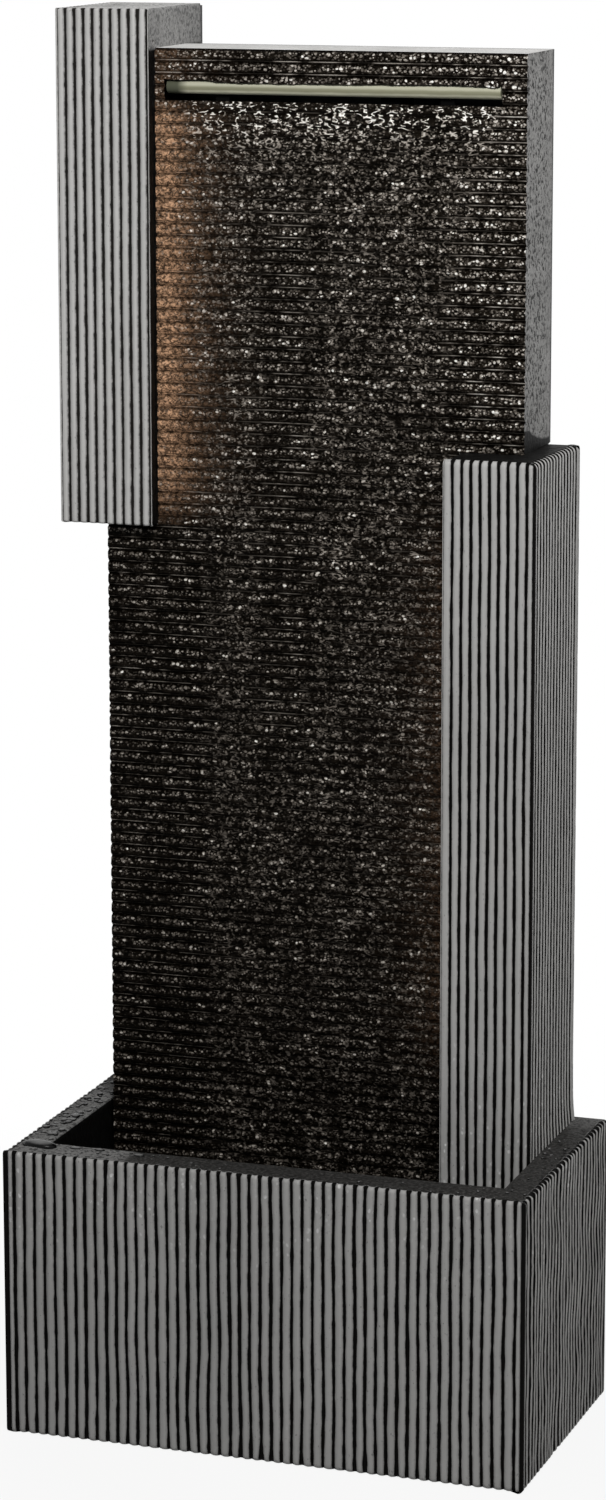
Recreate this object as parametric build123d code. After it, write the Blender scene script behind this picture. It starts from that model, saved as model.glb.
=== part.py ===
from build123d import *
import os

# Floor-standing garden fountain. Two fluted pillars flank a ribbed water wall that stands in a fluted
# basin. A small pump on the basin floor feeds a slotted bar at the top of the wall, and two hidden light
# bars in the pillars graze the wall. Millimetres, X to the right, Y to the back, Z up, with the origin at
# the middle of the basin's underside.

# Basin casting
BASIN_WIDTH = 390.0
BASIN_DEPTH = 218.0
BASIN_HEIGHT = 212.0
BASIN_FLOOR = 12.0
SIDE_RIM = 24.5
FRONT_RIM = 30.0
BACK_WALL = 5.0
BACK_CORNER_RADIUS = 3.0
FOOT_BEVEL = 4.0

# Flutes on the basin and the pillars
FLUTE_DEPTH = 2.2
FLUTE_FLANK = 1.1
BASIN_FLUTE_PITCH = 7.8
PILLAR_FLUTE_PITCH = 6.9
CREST_BEVEL = 1.6

# Water wall casting
TOWER_BACK_GAP = 0.3
WALL_DEPTH = 69.0
WALL_TOP = 988.5
WALL_SIDE_GAP = 4.8
WALL_INSET = 20.7
WALL_SKIN = 5.0
WALL_RETURN = 6.0
WALL_RIB_PITCH = 8.74
WALL_RIB_DEPTH = 2.4
WALL_RIB_GROOVE = 1.2
WALL_RIB_FLANK = 1.6
WALL_RIB_DIP = 40.0
INLET_COUNT = 3
INLET_WIDTH = 34.0
INLET_HEIGHT = 24.0
INLET_PITCH = 52.0
INLET_LEFT_MARGIN = 40.0

# Pillars
RIGHT_PILLAR_GAP = 2.4
RIGHT_PILLAR_WIDTH = 68.0
RIGHT_PILLAR_DEPTH = 108.0
RIGHT_PILLAR_TOP = 710.5
LEFT_PILLAR_WIDTH = 70.4
LEFT_PILLAR_DEPTH = 110.7
LEFT_PILLAR_FOOT = 648.4
LEFT_PILLAR_TOP = 1016.0
LEFT_PILLAR_LAP = 39.2
LEFT_PILLAR_PROUD = 12.0
PILLAR_SKIN = 4.0
PILLAR_END = 6.0

# Rear plates and their screws
COVER_THICKNESS = 4.0
COVER_GAP = 0.3
COVER_LIFT = 4.0
BOSS_HALF = 6.0
BOSS_INSET = 11.0
BOSS_LENGTH = 20.0
BOSS_BITE = 1.5
SCREW_RADIUS = 2.0
SCREW_LENGTH = 14.0
SCREW_HEAD_RADIUS = 4.0
SCREW_HEAD_HEIGHT = 2.4
SCREW_CLEARANCE = 0.3
THREAD_CLEARANCE = 0.05
COVER_SCREW_RISE = 12.0

# Bolts that join each pillar to the water wall
BOLT_RADIUS = 3.0
BOLT_HEAD_RADIUS = 5.5
BOLT_HEAD_HEIGHT = 4.0
BOLT_SPARE = 3.0
BOLT_SETBACK = 30.0
BOLT_END_MARGIN = 75.0
LEAD_HOLE_RADIUS = 4.5
LEAD_HOLE_OFFSET = 24.0

# Access door in the rear cover
DOOR_INSET = 45.7
DOOR_WIDTH = 140.0
DOOR_HEIGHT = 160.0
DOOR_RISE = 20.0
DOOR_GAP = 1.0
KNUCKLE_RADIUS = 3.5
KNUCKLE_LENGTH = 12.0
KNUCKLE_GAP = 0.4
KNUCKLE_RISE = 0.7
HINGE_MARGIN = 28.0
HINGE_LEAF = 8.0
HINGE_PIN_RADIUS = 1.5
RUNNING_CLEARANCE = 0.05
DOOR_KNOB_RADIUS = 8.0
DOOR_KNOB_NECK = 4.5
DOOR_KNOB_LENGTH = 13.0
DOOR_KNOB_INSET = 16.0
CATCH_HEIGHT = 24.0
CATCH_LAP = 9.0
CATCH_DEPTH = 8.0
STRIKE_THICKNESS = 1.2
STRIKE_GAP = 0.3

# Cable grommet in the right pillar's back, and drain plug in the basin's back wall
GROMMET_RISE = 44.0
GROMMET_HOLE_RADIUS = 7.0
GROMMET_BORE_RADIUS = 4.0
GROMMET_FLANGE_RADIUS = 9.5
GROMMET_FLANGE = 2.0
DRAIN_INSET = 55.7
DRAIN_RISE = 15.0
DRAIN_RADIUS = 8.0
DRAIN_FIT = 0.08
DRAIN_HEAD_RADIUS = 12.0
DRAIN_HEAD = 4.0
DRAIN_TAB_WIDTH = 5.0
DRAIN_TAB_LENGTH = 9.0

# Slotted water bar at the top of the wall
BAR_LEFT_MARGIN = 8.5
BAR_RIGHT_MARGIN = 19.4
BAR_DROP = 27.0
BAR_RADIUS = 5.0
BAR_BORE_RADIUS = 3.8
BAR_SETBACK = 1.0
BAR_SLIT = 2.0
BAR_SLIT_MARGIN = 10.0
BAR_CAP = 4.0
BAR_PLUG = 6.0
BAR_PLUG_CLEARANCE = 0.05
SPOUT_OVER = 0.5
SPOUT_UNDER = 4.5
SPOUT_END_GAP = 1.5
SADDLE_WIDTH = 10.0
SADDLE_THICKNESS = 2.5
SADDLE_CLEARANCE = 0.1
SADDLE_TAB = 9.0
SADDLE_MARGIN = 40.0

# Supply hose, its clamps and clips, and the elbow at its top
HOSE_RADIUS = 8.0
HOSE_BORE_RADIUS = 6.1
HOSE_CLEARANCE = 0.1
ELBOW_BORE_RADIUS = 4.2
ELBOW_HALF = 7.0
ELBOW_WEB = 2.0
ELBOW_DROP = 16.0
ELBOW_TAIL = 24.0
ELBOW_SPIGOT_RADIUS = 3.0
ELBOW_SPIGOT_BORE = 2.2
ELBOW_SPIGOT_CLEARANCE = 0.1
CLAMP_WIDTH = 9.0
CLAMP_THICKNESS = 1.2
CLAMP_CLEARANCE = 0.05
CLAMP_INSET = 3.0
CLAMP_LUG = 7.0
CLIP_WIDTH = 12.0
CLIP_THICKNESS = 2.0
CLIP_COUNT = 2
CLIP_ARM = 8.0

# Submersible pump
PUMP_INSET = 55.1
PUMP_SETBACK = 29.0
PUMP_WIDTH = 42.0
PUMP_HEIGHT = 44.0
PUMP_CORNER = 6.0
PUMP_NOSE = 10.0
PUMP_TAIL = 44.0
PUMP_REAR_BEVEL = 4.0
PUMP_FIN_COUNT = 5
PUMP_FIN_PITCH = 6.0
PUMP_FIN_GROOVE = 2.4
PUMP_FIN_DEPTH = 1.5
CHAMBER_RADIUS = 13.0
CHAMBER_DEPTH = 16.0
ROTOR_RADIUS = 7.0
ROTOR_LENGTH = 23.0
ROTOR_CLEARANCE = 0.4
SHAFT_RADIUS = 1.0
SHAFT_SEAT = 3.0
BLADE_COUNT = 6
BLADE_RADIUS = 11.5
BLADE_LENGTH = 10.0
BLADE_THICKNESS = 1.6
HUB_RADIUS = 3.5
DISC_THICKNESS = 1.6
CHAMBER_COVER = 2.4
CHAMBER_EYE_RADIUS = 6.5
SPOKE_WIDTH = 2.0
SPOKE_COUNT = 3
BEARING_RADIUS = 2.4
STRAINER_LENGTH = 24.0
STRAINER_WALL = 2.0
STRAINER_CLEARANCE = 0.3
STRAINER_SLOT = 2.4
STRAINER_SLOT_PITCH = 5.6
STRAINER_SLOT_COUNT = 5
STRAINER_SLOT_LENGTH = 12.0
STRAINER_SLOT_SETBACK = 4.0
DIAL_RADIUS = 12.0
DIAL_THICKNESS = 2.4
DIAL_GAP = 0.3
DIAL_PIVOT_RADIUS = 2.5
DIAL_GRIP_WIDTH = 3.0
DIAL_GRIP_HEIGHT = 4.0
BARB_BORE_RADIUS = 4.2
BARB_SPIGOT_RADIUS = 5.8
BARB_SPIGOT = 8.0
BARB_FLANGE_RADIUS = 8.5
BARB_FLANGE = 3.0
BARB_LENGTH = 20.0
CUP_RADIUS = 7.5
CUP_HEIGHT = 6.0
CUP_STEM_RADIUS = 2.4
CUP_STEM = 4.0
CUP_INSET = 9.0

# Light bars behind a slot in each pillar's inner face
LIGHT_SLOT = 3.8
LIGHT_CLEARANCE = 0.1
LENS_RECESS = 2.0
LENS_LIP = 3.0
LENS_FLANGE = 2.0
CHANNEL_WALL = 1.5
CHANNEL_DEPTH = 14.0
BOARD_THICKNESS = 1.6
CHIP_SIZE = 3.0
CHIP_HEIGHT = 1.2
CHIP_PITCH = 26.0
CHIP_MARGIN = 14.0
LEFT_LIGHT_MARGIN = 22.0
RIGHT_LIGHT_SETBACK = 9.0
RIGHT_LIGHT_FOOT = 300.0
RIGHT_LIGHT_HEIGHT = 340.0

# Places worked out from the sizes above
basin_back = BASIN_DEPTH / 2
basin_inner_x = BASIN_WIDTH / 2 - SIDE_RIM
tower_back = basin_back - BACK_WALL - TOWER_BACK_GAP
cover_front = tower_back - COVER_THICKNESS
cover_foot = BASIN_HEIGHT + COVER_LIFT
wall_front = tower_back - WALL_DEPTH
wall_groove = wall_front + WALL_RIB_DEPTH
wall_inner = wall_groove + WALL_SKIN
wall_left = WALL_SIDE_GAP - basin_inner_x
right_face = basin_inner_x - RIGHT_PILLAR_GAP
right_inner = right_face - RIGHT_PILLAR_WIDTH
right_front = tower_back - RIGHT_PILLAR_DEPTH
wall_right = right_face - WALL_INSET
left_inner = wall_left + LEFT_PILLAR_LAP
left_face = left_inner - LEFT_PILLAR_WIDTH
left_front = wall_front - LEFT_PILLAR_PROUD
left_back = left_front + LEFT_PILLAR_DEPTH
bar_x = (left_inner + BAR_LEFT_MARGIN, wall_right - BAR_RIGHT_MARGIN)
bar_y = wall_front + BAR_SETBACK + BAR_RADIUS
bar_z = WALL_TOP - BAR_DROP
pump_x = right_inner - PUMP_INSET
hose_y = wall_inner + PUMP_SETBACK
bolt_y = wall_inner + BOLT_SETBACK
pump_foot = BASIN_FLOOR + CUP_HEIGHT
pump_top = pump_foot + PUMP_HEIGHT
pump_axis_z = pump_foot + PUMP_HEIGHT / 2
barb_seat = pump_top + BARB_FLANGE
hose_top = bar_z - ELBOW_DROP
elbow_foot = hose_top - ELBOW_TAIL
grommet_x = (right_inner + right_face) / 2
grommet_z = cover_foot + GROMMET_RISE
drain_x = wall_left + DRAIN_INSET
door_left = wall_left + DOOR_INSET
door_right = door_left + DOOR_WIDTH
door_foot = cover_foot + DOOR_RISE
door_top = door_foot + DOOR_HEIGHT
hinge_y = tower_back + KNUCKLE_RADIUS + KNUCKLE_RISE


def block(x, y, z):
    """Box between three pairs of limits."""
    limits = (x, y, z)
    middle = [(low + high) / 2 for low, high in limits]
    return Pos(*middle) * Box(*[high - low for low, high in limits])


def rod(start, end, radius):
    """Round bar from one point to another."""
    way = Vector(*end) - Vector(*start)
    seat = Plane(origin=start, z_dir=way)
    return seat * Cylinder(radius, way.length, align=(Align.CENTER, Align.CENTER, Align.MIN))


def pipe(start, end, radius, bore):
    """Round tube from one point to another."""
    return rod(start, end, radius) - rod(start, end, bore)


def hexagon(start, end, radius):
    """Six-sided bar from one point to another."""
    way = Vector(*end) - Vector(*start)
    seat = Plane(origin=start, z_dir=way)
    return extrude(seat * RegularPolygon(radius, 6), amount=way.length, dir=way)


def joined(shapes):
    """One solid out of touching shapes."""
    shapes = list(shapes)
    return shapes[0].fuse(*shapes[1:]) if len(shapes) > 1 else shapes[0]


def prism_along_y(points, y):
    """Upright slab whose outline is given by X and Z."""
    outline = Polyline(*[(px, y[0], pz) for px, pz in points], close=True)
    return extrude(make_face(outline.edges()), amount=y[1] - y[0], dir=(0, 1, 0))


def fluted_run(start, end, pitch):
    """Corners of one side, from start to end, with flat-crested ribs between notches on the right of the way."""
    way = end - start
    count = max(1, round(way.length / pitch))
    step = way / count
    along = step.normalized()
    outward = Vector(along.Y, -along.X, 0) * FLUTE_DEPTH
    points = [start]
    for index in range(count):
        rib_start = start + step * index
        rib_end = rib_start + step
        points.append(rib_start + along * FLUTE_FLANK + outward)
        points += [rib_end - along * FLUTE_FLANK + outward, rib_end]
    return points


def fluted_block(x, y, z, pitch, fluted, corner=0.0):
    """Upright block, ribbed on the named sides, with its two back corners rounded."""
    x0 = x[0] + (FLUTE_DEPTH if "left" in fluted else 0)
    x1 = x[1] - (FLUTE_DEPTH if "right" in fluted else 0)
    y0 = y[0] + (FLUTE_DEPTH if "front" in fluted else 0)
    y1 = y[1]
    runs = {
        "front": (Vector(x0, y0, z[0]), Vector(x1, y0, z[0])),
        "right": (Vector(x1, y0, z[0]), Vector(x1, y1 - corner, z[0])),
        "back": (Vector(x1 - corner, y1, z[0]), Vector(x0 + corner, y1, z[0])),
        "left": (Vector(x0, y1 - corner, z[0]), Vector(x0, y0, z[0])),
    }
    edges = []
    for side, (start, end) in runs.items():
        points = fluted_run(start, end, pitch) if side in fluted else [start, end]
        edges += Polyline(*points).edges() if len(points) > 2 else [Line(start, end)]
    if corner:
        edges.append(RadiusArc(runs["right"][1], runs["back"][0], -corner))
        edges.append(RadiusArc(runs["back"][1], runs["left"][0], -corner))
    return extrude(make_face(edges), amount=z[1] - z[0], dir=(0, 0, 1))


def bevelled(x, y, z, foot, crest):
    """Plain block with bevels round its foot and its crest, to trim the ends of flutes."""
    shape = block(x, y, z)
    if foot:
        shape = chamfer(shape.edges().group_by(Axis.Z)[0], foot)
    if crest:
        shape = chamfer(shape.edges().group_by(Axis.Z)[-1], crest)
    return shape


def wall_outline(inset, foot, top_inset=None):
    """Stepped outline of the water wall, moved inwards, as X and Z pairs from the foot up."""
    top = WALL_TOP - (inset if top_inset is None else top_inset)
    return [
        (wall_left + inset, foot),
        (right_inner - inset, foot),
        (right_inner - inset, RIGHT_PILLAR_TOP + inset),
        (wall_right - inset, RIGHT_PILLAR_TOP + inset),
        (wall_right - inset, top),
        (left_inner + inset, top),
        (left_inner + inset, LEFT_PILLAR_FOOT - inset),
        (wall_left + inset, LEFT_PILLAR_FOOT - inset),
    ]


def cover_screw_places():
    """Screws that hold the rear cover to the wall, at the outer corners of its steps."""
    corners = wall_outline(BOSS_INSET, cover_foot + COVER_SCREW_RISE)
    inner_corners = (2, 6)
    return [place for index, place in enumerate(corners) if index not in inner_corners]


def screw(x, z, head_y):
    """Hexagon-head screw driven in from the back."""
    head = hexagon((x, head_y, z), (x, head_y + SCREW_HEAD_HEIGHT, z), SCREW_HEAD_RADIUS)
    return head + rod((x, head_y - SCREW_LENGTH, z), (x, head_y, z), SCREW_RADIUS)


def screw_post(x, z, y):
    """Square post that a screw bites into."""
    return block((x - BOSS_HALF, x + BOSS_HALF), y, (z - BOSS_HALF, z + BOSS_HALF))


def screw_hole(x, z, y, clearance):
    """Round cut for a screw's shank."""
    return rod((x, y[0], z), (x, y[1], z), SCREW_RADIUS + clearance)


def basin():
    """Open fluted trough with a wide rim and a drain hole at the back."""
    x = (-BASIN_WIDTH / 2, BASIN_WIDTH / 2)
    y = (-BASIN_DEPTH / 2, basin_back)
    z = (0, BASIN_HEIGHT)
    sides = ("front", "right", "left")
    body = fluted_block(x, y, z, BASIN_FLUTE_PITCH, sides, BACK_CORNER_RADIUS)
    body &= bevelled(x, y, z, FOOT_BEVEL, CREST_BEVEL)
    pool_y = (y[0] + FRONT_RIM, basin_back - BACK_WALL)
    body -= block((-basin_inner_x, basin_inner_x), pool_y, (BASIN_FLOOR, BASIN_HEIGHT + FOOT_BEVEL))
    drain_z = BASIN_FLOOR + DRAIN_RISE
    return body - rod((drain_x, pool_y[1], drain_z), (drain_x, basin_back, drain_z), DRAIN_RADIUS)


def drain_plug():
    """Rubber stopper with a pull tab."""
    z = BASIN_FLOOR + DRAIN_RISE
    inner = basin_back - BACK_WALL
    head_end = basin_back + DRAIN_HEAD
    plug = rod((drain_x, inner, z), (drain_x, basin_back, z), DRAIN_RADIUS - DRAIN_FIT)
    plug += rod((drain_x, basin_back, z), (drain_x, head_end, z), DRAIN_HEAD_RADIUS)
    tab_x = (drain_x - DRAIN_TAB_WIDTH / 2, drain_x + DRAIN_TAB_WIDTH / 2)
    tab_y = (head_end, head_end + DRAIN_TAB_LENGTH)
    return plug + block(tab_x, tab_y, (z - DRAIN_RADIUS, z + DRAIN_RADIUS))


def ribbed_slab():
    """Full-width slab whose front is a stack of level, flat-crested ribs."""
    foot = BASIN_HEIGHT - WALL_RIB_DIP
    count = round((WALL_TOP - foot) / WALL_RIB_PITCH)
    pitch = (WALL_TOP - foot) / count
    section = [(cover_front, BASIN_FLOOR), (wall_groove, BASIN_FLOOR)]
    for index in range(count):
        low = foot + index * pitch + WALL_RIB_GROOVE / 2
        high = foot + (index + 1) * pitch - WALL_RIB_GROOVE / 2
        section += [(wall_groove, low), (wall_front, low + WALL_RIB_FLANK)]
        section += [(wall_front, high - WALL_RIB_FLANK), (wall_groove, high)]
    section += [(wall_groove, WALL_TOP), (cover_front, WALL_TOP)]
    outline = Polyline(*[(wall_left, y, z) for y, z in section], close=True)
    return extrude(make_face(outline.edges()), amount=wall_right - wall_left, dir=(1, 0, 0))


def spout_limits():
    """X and Z limits of the slot that the water bar shows through."""
    x = (bar_x[0] - SPOUT_END_GAP, bar_x[1] + SPOUT_END_GAP)
    return x, (bar_z - BAR_RADIUS - SPOUT_UNDER, bar_z + BAR_RADIUS + SPOUT_OVER)


def water_wall():
    """Stepped hollow casting with level ribs in front, open at the back and the foot."""
    whole = (wall_front, cover_front)
    body = ribbed_slab() & prism_along_y(wall_outline(0, BASIN_FLOOR), whole)
    hollow = wall_outline(WALL_RETURN, BASIN_FLOOR - WALL_RETURN)
    body -= prism_along_y(hollow, (wall_inner, cover_front))
    for px, pz in cover_screw_places():
        body += screw_post(px, pz, (cover_front - BOSS_LENGTH, cover_front))
        body -= screw_hole(px, pz, (cover_front - SCREW_LENGTH, cover_front), THREAD_CLEARANCE)
    for index in range(INLET_COUNT):
        left = wall_left + INLET_LEFT_MARGIN + index * INLET_PITCH
        inlet_z = (BASIN_FLOOR, BASIN_FLOOR + INLET_HEIGHT)
        body -= block((left, left + INLET_WIDTH), (wall_front, wall_inner), inlet_z)
    spout_x, spout_z = spout_limits()
    body -= block(spout_x, (wall_front, wall_inner), spout_z)
    for side in ("left", "right"):
        body -= seam_holes(side)
    return body


def pillar_limits(side):
    """Outer X, Y and Z limits of a pillar, its rear plate included."""
    if side == "left":
        return (left_face, left_inner), (left_front, left_back), (LEFT_PILLAR_FOOT, LEFT_PILLAR_TOP)
    return (right_inner, right_face), (right_front, tower_back), (BASIN_FLOOR, RIGHT_PILLAR_TOP)


def pillar_hollow(side):
    """Inner X, Y and Z limits of a pillar's shell."""
    x, y, z = pillar_limits(side)
    inner_y = (y[0] + FLUTE_DEPTH + PILLAR_SKIN, y[1] - COVER_THICKNESS)
    outer_skin = FLUTE_DEPTH + PILLAR_SKIN
    if side == "left":
        return (x[0] + outer_skin, x[1] - PILLAR_SKIN), inner_y, (z[0] + PILLAR_END, z[1] - PILLAR_END)
    return (x[0] + PILLAR_SKIN, x[1] - outer_skin), inner_y, (z[0], z[1] - PILLAR_END)


def pillar_screws(side):
    """Screw places of a pillar's rear plate, on two posts that grow out of opposite skins."""
    x, _, z = pillar_hollow(side)
    inset = BOSS_HALF - BOSS_BITE
    low = z[0] + inset if side == "left" else cover_foot + COVER_SCREW_RISE
    return [(x[0] + inset, low), (x[1] - inset, z[1] - inset)]


def light_slot(side):
    """X limits of the slotted skin, direction out of it, and Y and Z limits of the slot."""
    x, y, z = pillar_hollow(side)
    if side == "left":
        start = y[0] + CHANNEL_WALL
        tall = (LEFT_PILLAR_FOOT + LEFT_LIGHT_MARGIN, LEFT_PILLAR_TOP - LEFT_LIGHT_MARGIN)
        return (x[1], left_inner), 1, (start, start + LIGHT_SLOT), tall
    end = wall_front - RIGHT_LIGHT_SETBACK
    tall = (RIGHT_LIGHT_FOOT, RIGHT_LIGHT_FOOT + RIGHT_LIGHT_HEIGHT)
    return (right_inner, x[0]), -1, (end - LIGHT_SLOT, end), tall


def pillar(side):
    """Hollow fluted casting, open at the back, with a light slot in its inner face."""
    x, y, z = pillar_limits(side)
    shell_y = (y[0], y[1] - COVER_THICKNESS)
    body = fluted_block(x, shell_y, z, PILLAR_FLUTE_PITCH, ("front", side))
    body &= bevelled(x, y, z, CREST_BEVEL if side == "left" else 0, CREST_BEVEL)
    hollow = pillar_hollow(side)
    body -= block(*hollow)
    for px, pz in pillar_screws(side):
        body += screw_post(px, pz, (shell_y[1] - BOSS_LENGTH, shell_y[1]))
        body -= screw_hole(px, pz, (shell_y[1] - SCREW_LENGTH, shell_y[1]), THREAD_CLEARANCE)
    skin, _, slot_y, slot_z = light_slot(side)
    body -= block(skin, slot_y, slot_z)
    return body - seam_holes(side)


def pillar_back(side):
    """Flat plate that closes a pillar's open back."""
    x, y, z = pillar_limits(side)
    plate_x = (x[0] + FLUTE_DEPTH, x[1]) if side == "left" else (x[0], x[1] - FLUTE_DEPTH)
    plate_y = (y[1] - COVER_THICKNESS, y[1])
    top = z[1] - CREST_BEVEL
    foot = z[0] + CREST_BEVEL if side == "left" else z[0]
    plate = block(plate_x, plate_y, (foot, top))
    for px, pz in pillar_screws(side):
        plate -= screw_hole(px, pz, plate_y, SCREW_CLEARANCE)
    if side == "right":
        ends = [(grommet_x, y_end, grommet_z) for y_end in plate_y]
        plate -= rod(*ends, GROMMET_HOLE_RADIUS)
    return plate


def bolt_places(side):
    """Seam plane, direction into the pillar, and heights of the bolts on one side of the wall."""
    if side == "left":
        seam_top = min(WALL_TOP, LEFT_PILLAR_TOP)
        return left_inner, -1, (LEFT_PILLAR_FOOT + BOLT_END_MARGIN, seam_top - BOLT_END_MARGIN)
    return right_inner, 1, (BASIN_HEIGHT + BOLT_END_MARGIN, RIGHT_PILLAR_TOP - BOLT_END_MARGIN)


def seam_holes(side):
    """Holes through the wall's return and the pillar's skin, for the bolts and for the light's lead."""
    seam, out, heights = bolt_places(side)
    start = seam - out * WALL_RETURN
    end = seam + out * PILLAR_SKIN
    radius = BOLT_RADIUS + SCREW_CLEARANCE
    holes = [rod((start, bolt_y, z), (end, bolt_y, z), radius) for z in heights]
    lead_z = heights[0] + LEAD_HOLE_OFFSET
    return joined(holes + [rod((start, bolt_y, lead_z), (end, bolt_y, lead_z), LEAD_HOLE_RADIUS)])


def pillar_bolts():
    """Hexagon bolts driven from inside the wall into both pillars."""
    solids = []
    for side in ("left", "right"):
        seam, out, heights = bolt_places(side)
        head = seam - out * WALL_RETURN
        head_end = head - out * BOLT_HEAD_HEIGHT
        tip = seam + out * (PILLAR_SKIN + BOLT_HEAD_HEIGHT + BOLT_SPARE)
        for z in heights:
            shank = rod((head, bolt_y, z), (tip, bolt_y, z), BOLT_RADIUS)
            solids.append(shank + hexagon((head_end, bolt_y, z), (head, bolt_y, z), BOLT_HEAD_RADIUS))
    return Compound(solids)


def pillar_nuts():
    """Nuts on those bolts, inside the pillars."""
    solids = []
    for side in ("left", "right"):
        seam, out, heights = bolt_places(side)
        near = seam + out * PILLAR_SKIN
        far = near + out * BOLT_HEAD_HEIGHT
        for z in heights:
            nut = hexagon((near, bolt_y, z), (far, bolt_y, z), BOLT_HEAD_RADIUS)
            solids.append(nut - rod((near, bolt_y, z), (far, bolt_y, z), BOLT_RADIUS + THREAD_CLEARANCE))
    return Compound(solids)


def hinge_heights():
    """Middle of each of the two hinges of the access door."""
    return door_foot + HINGE_MARGIN, door_top - HINGE_MARGIN


def hinge_leaf(side, z):
    """One knuckle and the leaf under it, on the given side of the hinge line."""
    leaf_x = (door_left, door_left + HINGE_LEAF) if side > 0 else (door_left - HINGE_LEAF, door_left)
    barrel = rod((door_left, hinge_y, z[0]), (door_left, hinge_y, z[1]), KNUCKLE_RADIUS)
    return barrel + block(leaf_x, (tower_back, hinge_y), z)


def knuckle_span(side, z):
    """Z limits of a hinge's knuckle: the cover's is the lower one, the door's the upper one."""
    near = z + side * KNUCKLE_GAP / 2
    return tuple(sorted((near, near + side * KNUCKLE_LENGTH)))


def pin_line(z):
    """Ends of the pin through one hinge."""
    reach = KNUCKLE_LENGTH + KNUCKLE_GAP / 2
    return (door_left, hinge_y, z - reach), (door_left, hinge_y, z + reach)


def rear_cover():
    """Stepped back plate with the door opening and its hinge leaves."""
    span = (cover_front, tower_back)
    plate = prism_along_y(wall_outline(COVER_GAP, cover_foot, 0), span)
    plate -= block((door_left, door_right), span, (door_foot, door_top))
    for z in hinge_heights():
        plate += hinge_leaf(-1, knuckle_span(-1, z))
        plate -= rod(*pin_line(z), HINGE_PIN_RADIUS + RUNNING_CLEARANCE)
    for px, pz in cover_screw_places():
        plate -= screw_hole(px, pz, span, SCREW_CLEARANCE)
    return plate


def access_door():
    """Flat door that fills the opening, with its own hinge knuckles."""
    x = (door_left + DOOR_GAP, door_right - DOOR_GAP)
    door = block(x, (cover_front, tower_back), (door_foot + DOOR_GAP, door_top - DOOR_GAP))
    for z in hinge_heights():
        door += hinge_leaf(1, knuckle_span(1, z))
        door -= rod(*pin_line(z), HINGE_PIN_RADIUS + RUNNING_CLEARANCE)
    return door


def hinge_pins():
    """One pin for each hinge."""
    return Compound([rod(*pin_line(z), HINGE_PIN_RADIUS) for z in hinge_heights()])


def door_knob():
    """Turned pull on the door's free edge."""
    x = door_right - DOOR_KNOB_INSET
    z = (door_foot + door_top) / 2
    end = tower_back + DOOR_KNOB_LENGTH
    crown = tower_back + DOOR_KNOB_LENGTH / 2
    knob = rod((x, tower_back, z), (x, end, z), DOOR_KNOB_NECK)
    return knob + rod((x, crown, z), (x, end, z), DOOR_KNOB_RADIUS)


def door_catch():
    """Magnet block behind the cover that the door's edge rests against."""
    z = (door_foot + door_top) / 2
    span = (z - CATCH_HEIGHT / 2, z + CATCH_HEIGHT / 2)
    back = cover_front - CATCH_DEPTH
    body = block((door_right, door_right + CATCH_LAP), (back, cover_front), span)
    face = cover_front - STRIKE_THICKNESS - STRIKE_GAP
    return body + block((door_right - CATCH_LAP, door_right), (back, face), span)


def strike_plate():
    """Steel plate on the door that meets the magnet."""
    z = (door_foot + door_top) / 2
    half = CATCH_HEIGHT / 2
    x = (door_right - DOOR_GAP - CATCH_LAP, door_right - DOOR_GAP)
    return block(x, (cover_front - STRIKE_THICKNESS, cover_front), (z - half, z + half))


def cable_grommet():
    """Rubber bush for the supply lead."""
    inner = (grommet_x, cover_front - GROMMET_FLANGE, grommet_z)
    seat = (grommet_x, cover_front, grommet_z)
    face = (grommet_x, tower_back, grommet_z)
    outer = (grommet_x, tower_back + GROMMET_FLANGE, grommet_z)
    bush = rod(inner, outer, GROMMET_HOLE_RADIUS - THREAD_CLEARANCE)
    bush += rod(inner, seat, GROMMET_FLANGE_RADIUS) + rod(face, outer, GROMMET_FLANGE_RADIUS)
    return bush - rod(inner, outer, GROMMET_BORE_RADIUS)


def cover_screws():
    """Screws of the rear cover."""
    return Compound([screw(px, pz, tower_back) for px, pz in cover_screw_places()])


def pillar_screws_set():
    """Screws of both pillar backs."""
    backs = {"left": left_back, "right": tower_back}
    return Compound([screw(px, pz, y) for side, y in backs.items() for px, pz in pillar_screws(side)])


def water_bar():
    """Tube with a long slit low on its front that lays water on the wall."""
    ends = (bar_x[0] + BAR_CAP, bar_x[1] - BAR_CAP)
    tube = pipe((ends[0], bar_y, bar_z), (ends[1], bar_y, bar_z), BAR_RADIUS, BAR_BORE_RADIUS)
    slit_x = (ends[0] + BAR_SLIT_MARGIN, ends[1] - BAR_SLIT_MARGIN)
    slit = block(slit_x, (bar_y - BAR_SLIT / 2, bar_y + BAR_SLIT / 2), (bar_z - BAR_RADIUS, bar_z))
    inlet_radius = ELBOW_SPIGOT_RADIUS + ELBOW_SPIGOT_CLEARANCE
    inlet = rod((pump_x, bar_y, bar_z), (pump_x, bar_y + BAR_RADIUS, bar_z), inlet_radius)
    return tube - slit - inlet


def bar_caps():
    """Plug with a flat head at each end of the bar."""
    solids = []
    for out, end in zip((-1, 1), bar_x):
        seat = end - out * BAR_CAP
        head = rod((seat, bar_y, bar_z), (end, bar_y, bar_z), BAR_RADIUS)
        plug_end = (seat - out * BAR_PLUG, bar_y, bar_z)
        solids.append(head + rod((seat, bar_y, bar_z), plug_end, BAR_BORE_RADIUS - BAR_PLUG_CLEARANCE))
    return Compound(solids)


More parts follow.
